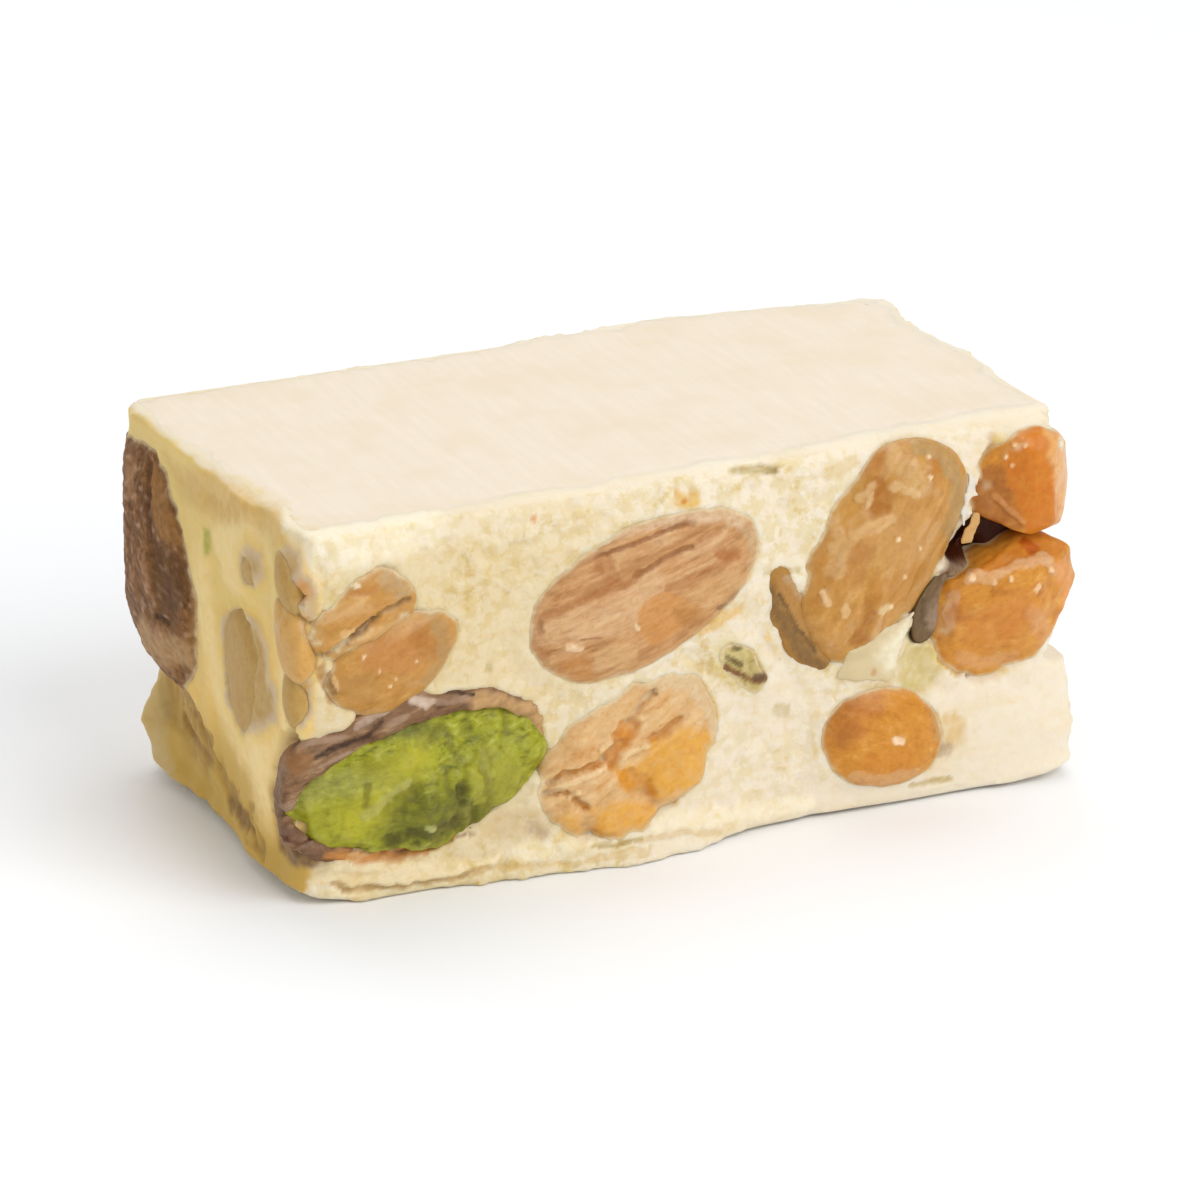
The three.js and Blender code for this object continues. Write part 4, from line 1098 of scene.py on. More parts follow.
veiled_flesh = nut_material(
    "nut_under_film", ((168, 132, 70), (182, 148, 86), (196, 166, 112)),
    roughness=0.45, scatter=0.4, reach=(1.6, 1.0, 0.5), size=0.9, stretch=(2, 1, 1), bump=0.2)
print("nut materials ready")

# %% [markdown]
# ### Whole almonds
# A toasted almond without its skin has fine ribs along it, a few long brown streaks, and pale flakes
# where a papery film is left. The ribs are stretched noise. The streaks and flakes of the almonds at
# the front are listed one by one, and the others get theirs from noise.

# %% Almond helper
def almond(node, seed, films=0.5, streaks=0.5):
    """An almond with ribs and dents. Films and streaks say how strongly noise lays them."""
    skin = nuts[node]
    ribs = hills(skin.own, np.array((9, 0.9, 2)) * MM, seed)
    dents = hills(skin.own, 3 * MM, seed + 1)
    grit = hills(skin.own, np.array((1.4, 0.7, 0.7)) * MM, seed + 5)
    skin.raise_by(0.1 * ribs + 0.14 * dents + 0.05 * grit)
    skin.cover((168, 116, 66), streaks * ease(ribs, 0.25, 0.5))
    film = ease(hills(skin.own, np.array((2.4, 1.2, 1.2)) * MM, seed + 2), 0.2, 0.4)
    skin.cover((216, 182, 140), films * film)
    skin.raise_by(0.1 * films * film)
    return skin


# %% The almond in the middle of the front
BROWN, DEEP_BROWN = (176, 118, 66), (150, 96, 50)

whole = almond("almond_centre", 31, films=0.3, streaks=0.5)
whole.mark((222, 186, 144), 2.8, 0.6, 0.05, (-11.0, 19.4), (-8.0, 19.4), (-5.6, 19.6), (-3.0, 21.2))
AMBER_AREA = ((-4.1, 19.6), (-3.4, 20.5), (-2.0, 20.9), (0.3, 20.0), (1.1, 18.8), (0.1, 18.1), (-1.5, 17.0),
              (-3.0, 16.8), (-3.8, 17.7))
whole.patch((206, 148, 84), AMBER_AREA, 1.0, -0.12, soft=0.5, ragged=0.25)
whole.mark((176, 122, 62), 1.5, 0.7, 0, (-0.4, 18.9), (0.6, 18.2))
whole.mark((208, 166, 112), 2.0, 0.7, 0.05, (1.2, 20.0), (3.6, 21.0))
whole.mark(BROWN, 1.6, 0.7, 0, (-12.9, 21.0), (-12.2, 22.2), (-11.0, 23.4))
whole.mark(BROWN, 1.1, 0.8, 0, (-13.0, 19.6), (-12.7, 18.2), (-11.8, 17.2))
whole.mark(DEEP_BROWN, 0.6, 0.7, -0.1, (-12.1, 19.9), (-12.0, 19.3))
whole.mark(BROWN, 1.3, 0.8, -0.1, (-6.9, 24.2), (-6.4, 23.2), (-6.2, 22.4))
whole.mark(DEEP_BROWN, 0.45, 0.9, -0.15, (-7.4, 24.6), (-5.0, 24.9), (-3.0, 25.4), (-1.0, 25.9), (0.6, 26.0))
whole.mark(DEEP_BROWN, 0.45, 0.85, -0.15, (-4.2, 22.5), (-2.6, 23.1), (-1.2, 23.8), (0.5, 24.1))
whole.mark(BROWN, 0.8, 0.7, -0.12, (-11.9, 20.3), (-9.6, 21.0), (-7.6, 21.6), (-5.0, 22.0), (-4.0, 22.6))
whole.mark(BROWN, 1.0, 0.6, -0.1, (-1.4, 21.2), (0.5, 21.4), (2.2, 22.0), (3.6, 22.8))
whole.mark((172, 106, 50), 1.1, 0.8, -0.1, (3.0, 23.2), (4.0, 23.0))
whole.mark(BROWN, 0.7, 0.5, -0.1, (-11.4, 22.8), (-9.4, 23.9), (-7.6, 24.6))
whole.mark(BROWN, 0.6, 0.6, -0.08, (1.2, 24.6), (2.6, 25.0))
whole.mark((192, 132, 66), 1.8, 0.7, 0, (-9.7, 16.4), (-8.6, 15.8))
whole.mark((212, 172, 120), 1.9, 0.8, 0.1, (-6.8, 16.3), (-5.0, 16.3), soft=0.2)
whole.mark((236, 208, 172), 0.5, 0.9, 0.12, (-9.8, 17.8), (-8.7, 17.5))
whole.mark((236, 208, 172), 0.4, 0.9, 0.1, (-4.2, 18.6), (-4.0, 18.3))
whole.mark(DEEP_BROWN, 0.25, 0.8, -0.1, (-8.7, 18.2), (-7.2, 18.1))
whole.mark((212, 184, 152), 1.2, 0.85, 0.05, (-7.0, 26.1), (-4.0, 26.6), (0.0, 26.7), (3.0, 26.2),
           (4.4, 25.4))
whole.mark((178, 144, 102), 0.9, 0.7, 0, (-11.4, 24.2), (-9.6, 25.2), (-7.4, 26.0))
whole.mark((196, 168, 128), 1.3, 0.7, 0, (5.4, 24.6), (6.0, 23.0), (5.6, 21.4))
whole.mark((136, 104, 70), 0.5, 0.9, 0.1, (2.6, 18.9), (3.8, 19.6), (5.0, 20.6))
veil(whole, (214, 184, 146), 0.9, 0.5, 32)
whole.done("almond_centre", "toasted_almond", almond_flesh)

# %% The steep almond
steep = almond("almond_tall", 34, films=0.3, streaks=0.1)
steep.mark((200, 154, 94), 4.5, 0.6, 0, (16.5, 23.0), (19.5, 21.5))
steep.mark((190, 134, 70), 2.4, 0.6, 0, (10.8, 24.2), (10.6, 21.8))
steep.mark((184, 122, 60), 1.8, 0.8, 0, (13.6, 28.2), (16.2, 28.6))
steep.mark((176, 112, 40), 1.7, 0.85, -0.1, (16.0, 26.6), (16.6, 25.2), (16.0, 24.8))
steep.mark((180, 116, 44), 1.5, 0.8, -0.05, (20.8, 27.8), (21.0, 26.8))
steep.mark((212, 176, 122), 1.9, 0.6, 0.1, (17.5, 28.5), (18.6, 27.3), (19.4, 26.6), ragged=0.6)
steep.mark((222, 190, 142), 0.8, 0.7, 0.1, (17.4, 26.4), (18.2, 26.0), (19.1, 25.5), ragged=0.4)
steep.mark((216, 182, 132), 0.7, 0.7, 0.1, (14.3, 25.8), (15.4, 26.5), (15.2, 25.4), ragged=0.4)
steep.mark((210, 174, 124), 1.3, 0.6, 0.08, (12.2, 24.2), (12.8, 22.6), (13.4, 21.4), (13.0, 20.2),
           ragged=0.6)
steep.mark((216, 176, 122), 1.0, 0.75, 0.08, (14.0, 23.0), (15.6, 23.3), (17.2, 23.9))
steep.mark((186, 128, 64), 1.7, 0.75, -0.05, (14.6, 21.4), (14.2, 19.6))
steep.mark((190, 134, 58), 1.6, 0.7, 0, (10.8, 19.4), (11.0, 18.0))
steep.mark((228, 192, 146), 0.5, 0.9, 0.12, (11.4, 18.8), (11.9, 17.7))
steep.mark((220, 184, 130), 0.8, 0.8, 0.1, (13.3, 17.1), (13.5, 16.8))
steep.mark((166, 106, 28), 1.4, 0.9, -0.15, (15.4, 17.4), (15.2, 15.6), (14.6, 14.4))
steep.mark((192, 140, 60), 1.8, 0.7, 0, (13.2, 14.8), (12.6, 13.2))
steep.mark((190, 130, 48), 2.2, 0.7, 0, (16.2, 18.0), (18.8, 18.2), (20.0, 18.6))
steep.mark((232, 206, 158), 0.55, 0.9, 0.1, (16.4, 16.3), (17.2, 16.7))
steep.mark((170, 144, 98), 1.3, 0.7, 0, (19.4, 29.3), (21.4, 28.4), (22.6, 26.6), (22.9, 24.4), (22.2, 22.2))
for dot in ((20.3, 28.3), (20.4, 26.6), (17.7, 22.0), (19.6, 21.0), (11.2, 23.0), (18.4, 18.9)):
    steep.mark((240, 214, 172), 0.4, 0.8, 0.1, dot)
veil(steep, (196, 164, 116), 0.8, 0.5, 35)
steep.done("almond_tall", "toasted_almond", amber_flesh)

# %% The almond split in two, and its neighbour
upper = almond("split_almond_upper", 37, films=0.4, streaks=0.15)
upper.mark((188, 128, 60), 0.7, 0.8, -0.1, (-28.0, 25.0), (-26.6, 24.7), (-25.3, 24.8))
upper.mark((222, 184, 126), 1.0, 0.7, 0.1, (-27.6, 21.6), (-25.7, 21.2), (-23.3, 21.6), (-21.3, 22.2))
# painted highlight: a small near-white streak at the top of the upper half
upper.mark((236, 222, 198), 0.4, 0.9, 0.1, (-27.8, 25.6), (-26.6, 25.3))
upper.mark((172, 124, 64), 0.8, 0.8, -0.1, (-26.4, 26.3), (-25.8, 26.4))
upper.mark((180, 152, 108), 1.4, 0.7, 0, (-24.4, 25.4), (-23.0, 24.2))
upper.mark((214, 172, 116), 1.6, 0.6, 0.05, (-28.0, 23.6), (-26.2, 23.6))
upper.mark((112, 68, 26), 0.5, 0.95, -0.4, (-31.4, 19.6), (-28.8, 20.4), (-27.6, 21.0), (-26.0, 21.9),
           (-25.3, 22.4), ragged=0.25)
upper.mark((134, 92, 44), 0.4, 0.85, -0.25, (-25.3, 22.4), (-24.1, 23.2), (-22.4, 23.7), ragged=0.25)
veil(upper, (206, 176, 124), 0.8, 0.5, 38)
upper.done("split_almond_upper", "toasted_almond", amber_flesh)

lower = almond("split_almond_lower", 40, films=0.2, streaks=0.1)
lower.mark((190, 126, 66), 3.0, 0.7, 0, (-25.0, 19.6), (-22.6, 19.4))
lower.mark((176, 116, 44), 1.8, 0.8, 0, (-21.6, 20.8), (-21.0, 19.4))
lower.mark((180, 134, 68), 1.8, 0.7, 0, (-28.0, 17.8), (-25.8, 16.8))
lower.mark((198, 154, 92), 0.9, 0.7, 0.08, (-25.2, 22.2), (-22.6, 22.4))
lower.mark((150, 112, 54), 0.4, 0.7, -0.1, (-24.8, 23.0), (-22.8, 22.7))
lower.mark((176, 142, 92), 1.2, 0.75, 0, (-20.6, 22.0), (-19.7, 20.0), (-20.0, 18.2), (-21.0, 17.2))
lower.mark((142, 104, 52), 0.6, 0.8, -0.1, (-29.0, 19.6), (-29.2, 18.4), (-28.6, 17.2))
lower.mark((226, 190, 140), 0.35, 0.8, 0.1, (-28.6, 18.4), (-28.3, 17.4))
for dot in ((-25.0, 18.3), (-23.6, 17.5), (-24.1, 17.0), (-22.0, 18.6), (-26.2, 19.6)):
    lower.mark((240, 212, 170), 0.35, 0.8, 0.1, dot)
veil(lower, (200, 168, 116), 0.8, 0.5, 41)
lower.done("split_almond_lower", "toasted_almond", amber_flesh)

# %% The chunk at the left edge
chunk = almond("left_chunk", 43, films=0.3, streaks=0.0)
chunk.cover((216, 172, 98), 0.7)
veil(chunk, (196, 160, 112), 0.7, 0.8, 44, rim=(206, 178, 132))
chunk.done("left_chunk", "toasted_almond", amber_flesh)

# %% Almonds on the other sides
for node, seed, flesh in (
    ("right_almond", 46, almond_flesh),
    ("back_almond_wide", 49, almond_flesh),
    ("back_almond_half", 52, amber_flesh),
):
    skin = almond(node, seed)
    veil(skin, (206, 176, 130), 0.9, 0.6, seed + 1)
    skin.done(node, "toasted_almond", flesh)

# %% [markdown]
# ### The crushed almond
# This one was crushed before it went in: pale strands run up to the right, with amber, glassy lobes
# at its lower right and deep amber clefts between them. The lobes are raised with soft edges, the
# clefts are pressed in, and crumbs sit along their edges.

# %% Crushed almond
AMBER, DEEP_AMBER, CRUMBLE = (224, 166, 66), (208, 130, 4), (232, 200, 152)

crushed = nuts["crushed_almond"]
strands = hills(crushed.own, np.array((4.5, 0.7, 1.0)) * MM, 55)
crushed.raise_by(0.16 * strands + 0.1 * hills(crushed.own, 1.1 * MM, 56))
crushed.cover(CRUMBLE, 0.4 * ease(strands, 0.2, 0.45))
crushed.cover((206, 156, 90), 0.4 * ease(-strands, 0.2, 0.45))
RIGHT_LOBE = ((-3.0, 8.9), (-1.3, 9.5), (0.4, 9.7), (2.0, 8.9), (2.6, 7.6), (2.5, 6.0), (1.2, 4.9),
              (-0.5, 4.6), (-2.4, 4.3), (-4.6, 4.9), (-5.3, 5.8), (-5.8, 7.1), (-3.6, 7.8))
LOWER_LOBE = ((-7.8, 4.2), (-6.1, 4.7), (-4.6, 4.7), (-3.0, 4.0), (-1.7, 2.7), (-2.5, 1.7), (-4.0, 1.1),
              (-5.9, 1.3), (-7.6, 2.1))
SMALL_LOBE = ((-11.1, 4.0), (-9.9, 4.6), (-8.8, 4.0), (-8.6, 2.7), (-9.2, 1.6), (-10.3, 1.8), (-11.1, 2.8))
DARK_FOLD = ((-6.6, 7.5), (-4.6, 7.2), (-3.0, 5.8), (-2.8, 4.5), (-4.6, 4.9), (-5.4, 5.7), (-5.5, 6.3))
MIDDLE_CLEFT = ((-5.1, 10.6), (-4.1, 10.4), (-4.7, 9.6), (-5.8, 9.7), (-5.9, 10.0))
LOWER_CLEFT = ((-5.7, 9.0), (-5.1, 9.0), (-6.1, 7.8), (-6.7, 8.1))

for lobe, amber in ((RIGHT_LOBE, AMBER), (LOWER_LOBE, AMBER), (SMALL_LOBE, (224, 172, 90))):
    crushed.patch(amber, lobe, 0.9, 0.3, soft=0.8)
crushed.patch((214, 142, 30), DARK_FOLD, 0.9, -0.4)
for cleft in (MIDDLE_CLEFT, LOWER_CLEFT):
    crushed.patch(DEEP_AMBER, cleft, 1.0, -0.5, soft=0.4, ragged=0.2, grow=0.4)
crushed.mark(DEEP_AMBER, 0.5, 0.9, -0.5, (-2.6, 12.9), (-3.8, 12.1), (-4.5, 11.0), soft=0.3)
crushed.mark((196, 130, 44), 0.5, 0.9, -0.4, (-11.3, 6.9), (-10.3, 7.5), (-8.4, 7.6), (-6.7, 8.1), soft=0.3)
crushed.mark((192, 128, 44), 0.5, 0.9, -0.4, (-11.7, 6.1), (-10.4, 6.3), (-8.8, 5.0), (-8.1, 4.3), soft=0.3)
crushed.mark((206, 140, 52), 0.45, 0.85, -0.4, (-0.5, 10.5), (-2.1, 9.4), (-3.2, 9.0), soft=0.3)
crushed.mark((208, 156, 92), 1.1, 0.6, 0, (-9.0, 9.3), (-8.9, 9.0))
crushed.mark((200, 140, 60), 0.8, 0.7, -0.1, (-7.6, 2.4), (-6.2, 1.8))
crushed.mark((236, 206, 162), 0.5, 0.85, 0.15, (-11.1, 6.4), (-9.6, 6.8), (-8.0, 7.1), (-6.7, 7.5))
crushed.mark((140, 100, 34), 0.35, 0.9, -0.1, (-2.4, 12.7))
for crumbs in (((-7.0, 9.1), (-6.2, 9.4)), ((-5.2, 8.2), (-4.0, 8.5)), ((-3.5, 8.7), (-3.2, 8.9)),
               ((-10.9, 6.6), (-10.2, 6.4)), ((-9.6, 5.6), (-9.0, 5.9)), ((-4.2, 11.3), (-3.6, 11.0))):
    crushed.mark(CRUMBLE, 0.55, 0.85, 0.2, *crumbs)
crushed.mark((216, 194, 158), 1.2, 0.75, 0, (-3.0, 13.7), (0.3, 13.4), (2.0, 10.7), (2.9, 7.9), (2.5, 5.1),
             (0.4, 4.0))
veil(crushed, (214, 184, 140), 0.9, 0.6, 57)
crushed.done("crushed_almond", "crushed_almond", crushed_flesh)

# %% [markdown]
# ### Caramel-coloured nuts
# Deep-toasted nuts and hazelnuts are orange-brown and waxy. The broken ones have flat faces with
# crumbly ridges between them.

# %% Caramel nut helper
def roughen(skin, seed, lumps=0.12, fine=0.05):
    skin.raise_by(lumps * hills(skin.own, 2.2 * MM, seed) + fine * hills(skin.own, 0.8 * MM, seed + 1))


# %% The upper caramel nut
roughen(high_nut, 75)
SHADED_LEFT_FACET = ((24.0, 26.6), (25.3, 26.8), (26.8, 26.9), (27.6, 24.1), (28.8, 21.2), (26.6, 21.4),
              (24.4, 22.4))
MIDDLE_FACET = ((26.8, 26.9), (28.3, 29.6), (30.2, 29.6), (30.8, 26.1), (31.8, 22.0), (28.8, 20.6),
                (27.6, 24.1))
LIT_RIGHT_FACET = ((30.2, 29.6), (32.4, 29.4), (33.4, 24.6), (33.0, 21.6), (31.8, 21.6), (30.8, 26.1))
# the recessed left facet is painted dark brown as painted shade, and the right facet pale as painted light;
# the middle facet has the nut's own orange
high_nut.patch((168, 100, 34), SHADED_LEFT_FACET, 0.9)
high_nut.patch((204, 116, 18), MIDDLE_FACET, 0.9)
high_nut.patch((226, 174, 116), LIT_RIGHT_FACET, 0.9, soft=1.0)
high_nut.mark((204, 144, 84), 0.4, 0.8, 0.15, (26.0, 24.3), (27.4, 23.0), (28.6, 21.7))
high_nut.mark((204, 140, 74), 0.7, 0.8, 0.1, (26.8, 27.6), (28.2, 28.9))
high_nut.mark((206, 120, 20), 1.4, 0.8, 0, (29.4, 20.8), (31.0, 20.8))
for dot in ((27.7, 28.3), (28.5, 28.0), (27.5, 26.6), (27.0, 27.3)):
    high_nut.mark((240, 206, 160), 0.4, 0.9, 0.1, dot)
veil(high_nut, (222, 180, 130), 0.5, 0.4, 76)
high_nut.done("caramel_nut_upper", "caramel_nut", caramel_flesh)

# %% The lower caramel nut
roughen(low_nut, 77, 0.15, 0.07)
TOP_FACET = ((25.3, 19.4), (27.1, 20.1), (29.4, 20.5), (31.1, 20.7), (32.1, 19.0), (28.4, 18.3), (24.2, 18.0))
low_nut.patch((202, 124, 36), TOP_FACET, 0.85)
low_nut.mark((184, 88, 20), 1.0, 0.85, -0.1, (28.8, 20.0), (29.6, 19.5))
low_nut.mark((214, 170, 126), 1.0, 0.8, 0.12, (24.0, 18.0), (25.8, 17.7), (28.0, 18.3), (30.4, 18.5),
             (31.6, 17.2))
low_nut.mark((202, 158, 118), 1.0, 0.8, 0.05, (22.6, 16.8), (22.2, 15.4), (22.4, 14.2))
low_nut.mark((180, 110, 44), 1.4, 0.7, 0, (22.8, 15.2), (23.8, 14.8))
low_nut.mark((206, 130, 60), 3.4, 0.6, 0, (25.6, 13.6), (28.0, 14.4))
low_nut.mark((214, 156, 104), 1.3, 0.6, 0.05, (29.5, 14.2), (30.6, 12.2))
low_nut.mark((224, 148, 74), 1.3, 0.8, 0, (31.9, 17.6), (32.6, 15.0), (32.2, 12.6))
low_nut.mark((214, 160, 104), 1.0, 0.6, 0, (23.4, 11.6), (25.2, 10.6), (28.0, 10.9))
for dot in ((27.6, 17.2), (30.0, 16.3), (24.2, 17.9), (26.1, 17.2), (31.0, 17.4), (29.8, 16.0)):
    low_nut.mark((240, 206, 164), 0.5, 0.85, 0.12, dot)
veil(low_nut, (216, 176, 132), 0.6, 0.4, 78)
low_nut.done("caramel_nut_lower", "caramel_nut", caramel_flesh)

# %% The round nut at the lower right
round_nut = nuts["hazelnut_front"]
roughen(round_nut, 79, 0.08, 0.04)
# painted shade: the first two strokes paint the upper left of the nut darker brown
round_nut.mark((168, 102, 36), 2.6, 0.8, 0, (13.8, 9.6), (13.0, 8.0), (13.4, 7.0))
round_nut.mark((190, 120, 54), 2.4, 0.5, 0, (15.4, 9.4), (14.8, 7.4))
round_nut.mark((170, 134, 88), 0.8, 0.8, 0, (13.0, 10.6), (12.3, 9.2))
round_nut.mark((208, 136, 46), 1.6, 0.7, 0, (15.4, 4.2), (17.4, 3.8), (19.0, 4.0))
round_nut.mark((212, 166, 112), 0.9, 0.8, 0, (14.2, 3.2), (16.8, 2.4), (19.6, 2.6))
round_nut.mark((214, 154, 90), 1.0, 0.6, 0, (16.8, 10.4), (18.6, 9.4))
round_nut.mark((184, 144, 90), 0.8, 0.8, 0, (20.8, 8.2), (21.6, 6.6), (21.6, 5.2))
# painted highlight: a small pale spot on the middle of the nut
round_nut.mark((244, 216, 182), 0.65, 0.9, 0.06, (17.8, 5.6), (18.3, 5.4))
veil(round_nut, (208, 168, 118), 0.7, 0.5, 80)
round_nut.done("hazelnut_front", "caramel_nut", caramel_flesh)

# %% Caramel nuts on the other sides
for node, seed in (("right_hazelnut", 81), ("back_hazelnut", 83), ("back_caramel_nut", 85)):
    skin = nuts[node]
    roughen(skin, seed)
    darker = ease(hills(skin.own, 3.5 * MM, seed + 2), 0.05, 0.4)
    skin.cover((176, 108, 42), 0.6 * darker)
    skin.cover((216, 168, 112), 0.5 * ease(-darker + hills(skin.own, 1.6 * MM, seed + 3), 0.2, 0.5))
    veil(skin, (210, 172, 122), 0.8, 0.6, seed + 1)
    skin.done(node, "caramel_nut", caramel_flesh)

# %% [markdown]
# ### The broken pistachio and its jacket
# The pistachio broke open along its length. Its flesh is yellow-green and torn into short fibres, dark
# in the hollows and pale on the ridges. Round it lies its skin, a thick purple-brown jacket with dark
# edges and pale inner sides.

# %% Pistachio flesh
def torn_green(skin, seed, depth=1.0):
    """Torn fibres across a pistachio, dark in the hollows and pale on the ridges."""
    fibres = hills(skin.own, np.array((0.9, 1.9, 1.0)) * MM, seed)
    lumps = hills(skin.own, np.array((2.6, 2.0, 2.0)) * MM, seed + 1)
    skin.raise_by(depth * (0.22 * fibres + 0.28 * lumps + 0.08 * hills(skin.own, 0.55 * MM, seed + 2)))
    skin.cover((88, 84, 26), 0.45 * ease(-fibres - 0.5 * lumps, 0.2, 0.7))
    skin.cover((178, 176, 86), 0.6 * ease(fibres + 0.3 * lumps, 0.25, 0.6))


torn_green(green, 87)
green.mark((168, 166, 44), 3.4, 0.6, 0.1, (-31.0, 7.0), (-27.6, 6.2), (-25.0, 7.4), (-22.8, 10.0))
green.mark((160, 158, 92), 2.2, 0.5, 0, (-31.0, 10.0), (-28.0, 9.9), (-24.4, 9.6))
green.mark((146, 140, 24), 1.6, 0.6, 0, (-26.2, 10.7), (-22.0, 10.9))
green.mark((96, 96, 34), 1.6, 0.75, -0.15, (-24.6, 13.6), (-22.2, 13.5), (-21.2, 12.6))
# painted highlight: a bright yellow-green swath from lower left to upper right across the kernel
green.mark((196, 190, 52), 2.6, 0.6, 0.05, (-27.0, 6.8), (-24.2, 8.6), (-22.0, 11.0), soft=0.8)
green.mark((84, 82, 24), 4.2, 0.75, -0.25, (-22.6, 7.0), (-20.0, 6.0), (-17.6, 5.8), soft=0.9, ragged=0.7)
green.mark((78, 74, 20), 1.1, 0.85, -0.15, (-24.4, 4.6), (-21.6, 4.5), (-18.8, 4.8))
green.mark((120, 116, 24), 0.6, 0.7, -0.1, (-26.0, 9.3), (-26.2, 7.8))
green.mark((82, 76, 18), 0.7, 0.8, -0.15, (-18.4, 8.2), (-18.2, 6.6))
green.mark((168, 168, 52), 1.0, 0.75, 0.15, (-17.6, 9.2), (-17.2, 7.8), (-17.0, 6.6))
green.mark((164, 162, 58), 3.0, 0.6, 0.1, (-16.6, 9.2), (-15.0, 8.4), (-14.6, 7.0))
green.mark((104, 102, 30), 0.9, 0.5, -0.12, (-19.8, 12.6), (-19.0, 11.0), (-18.2, 9.8), ragged=0.6)
green.mark((108, 106, 34), 0.8, 0.4, -0.1, (-16.5, 11.2), (-16.3, 8.0), ragged=0.6)
green.mark((184, 180, 104), 0.7, 0.6, 0.1, (-22.8, 9.1), (-24.8, 7.9), (-26.4, 7.0))
green.mark((196, 198, 128), 0.55, 0.8, 0.1, (-21.1, 5.0), (-20.7, 4.9))
green.mark((192, 188, 86), 0.5, 0.7, 0.1, (-24.8, 8.9), (-24.4, 8.8))
green.mark((60, 40, 20), 0.35, 0.7, -0.1, (-33.2, 8.4), (-31.8, 10.9), (-28.6, 12.7), (-25.2, 13.9),
           ragged=0.2)
green.done("pistachio_kernel", "pistachio", green_flesh)

# %% Jacket of skin
jacket = nuts["pistachio_skin"]
creases = hills(jacket.own, np.array((3.0, 0.7, 1.2)) * MM, 71)
jacket.raise_by(0.14 * creases + 0.08 * hills(jacket.own, 0.8 * MM, 72))
jacket.cover((92, 66, 48), 0.6 * ease(-creases, 0.1, 0.4))
jacket.cover((176, 148, 124), 0.6 * ease(creases, 0.2, 0.5))
# painted highlight: a pale pinkish-grey streak on the upper band of the jacket
jacket.mark((222, 202, 184), 0.8, 0.8, 0.05, (-22.4, 15.5), (-21.0, 15.1))
jacket.mark((196, 172, 152), 0.6, 0.7, 0.05, (-26.8, 14.2), (-24.4, 15.2))
jacket.mark((176, 146, 122), 0.6, 0.6, 0, (-20.4, 15.0), (-18.0, 14.9))
jacket.mark((204, 164, 112), 1.7, 0.9, 0.05, (-17.0, 14.4), (-15.0, 14.0), (-13.4, 13.2), (-12.4, 11.8),
            (-12.2, 10.4))
jacket.mark((204, 140, 72), 1.6, 0.9, -0.35, (-29.0, 3.9), (-25.0, 3.5), (-21.0, 3.3), (-17.0, 3.8),
            (-13.0, 6.0), (-12.0, 8.5))
jacket.mark((224, 196, 146), 1.1, 0.8, -0.2, (-25.6, 2.9), (-21.0, 2.6), (-16.0, 3.2), (-12.2, 5.6))
jacket.mark((224, 208, 192), 0.9, 0.85, 0.08, (-14.0, 12.7), (-13.0, 11.6), (-12.6, 10.8))
jacket.mark((62, 42, 28), 0.4, 0.9, 0, (-30.2, 12.2), (-28.0, 13.0), (-26.0, 13.2), (-25.0, 14.2),
            ragged=0.25)
jacket.mark((66, 44, 30), 0.35, 0.9, 0.1, (-26.0, 15.4), (-24.0, 16.2), (-21.8, 16.6), (-19.4, 15.8),
            (-17.6, 15.2))
jacket.mark((152, 106, 62), 1.6, 0.85, 0, (-32.4, 12.6), (-31.2, 12.0))
jacket.mark((132, 106, 82), 1.2, 0.7, 0, (-33.2, 11.4), (-33.6, 9.0), (-33.4, 7.0))
jacket.mark((118, 88, 70), 1.4, 0.7, 0, (-33.0, 6.6), (-31.4, 6.0), (-29.4, 4.9))
jacket.mark((84, 44, 28), 0.35, 0.9, -0.15, (-33.2, 6.3), (-31.6, 5.6), (-30.8, 5.8), ragged=0.25)
jacket.done("pistachio_skin", "nut_skin", thin_skin)

# %% The chip of pistachio, and pistachios on the other sides
chip = nuts["pistachio_chip"]
roughen(chip, 89, 0.2, 0.12)
chip.cover((186, 168, 104))
chip.cover((110, 92, 50), 0.5 * ease(hills(chip.points, 0.5 * MM, 90), 0.25, 0.45))
chip.cover((212, 196, 140), 0.6 * ease(hills(chip.points, 1.1 * MM, 91), 0.2, 0.4))
veil(chip, (216, 196, 146), 0.6, 0.8, 99)
chip.mark((118, 66, 30), 0.5, 0.9, 0.05, (3.2, 14.0), (4.5, 13.2), (6.0, 12.3), ragged=0.25)
chip.mark((92, 54, 30), 0.8, 0.9, 0.1, (6.0, 12.7), (6.4, 12.6))
chip.mark((84, 70, 34), 0.4, 0.8, 0, (4.0, 15.4), (4.4, 15.3))
chip.mark((84, 64, 34), 0.4, 0.8, 0, (3.4, 14.8), (4.6, 14.0))
chip.done("pistachio_chip", "pistachio", green_flesh)
for node, seed in (("right_pistachio", 92), ("back_pistachio", 95), ("back_chip", 98)):
    skin = nuts[node]
    torn_green(skin, seed, 0.6)
    veil(skin, (128, 96, 66), 0.7, 0.8, seed + 1)
    skin.done(node, "pistachio", green_flesh)

# %% [markdown]
# ### Almonds in their skin, bits of skin and veiled chips
# Almond skin is brown and deeply wrinkled along the nut. Where a nut lies just under the surface of the
# nougat, the waxy film over it turns it olive with a grey rim.

# %% Almonds in their skin
def bark(node, seed):
    skin = nuts[node]
    wrinkles = hills(skin.own, np.array((4, 1.2, 1.5)) * MM, seed)
    grit = hills(skin.own, 0.55 * MM, seed + 1)
    skin.raise_by(0.12 * wrinkles + 0.12 * grit + 0.15 * hills(skin.own, 2.4 * MM, seed + 2))
    skin.cover((104, 68, 38), 0.6 * ease(-wrinkles, 0.1, 0.4))
    skin.cover((176, 130, 88), 0.5 * ease(wrinkles + 0.5 * grit, 0.3, 0.6))
    skin.cover((190, 152, 124), 0.55 * ease(grit, 0.25, 0.5))
    return skin


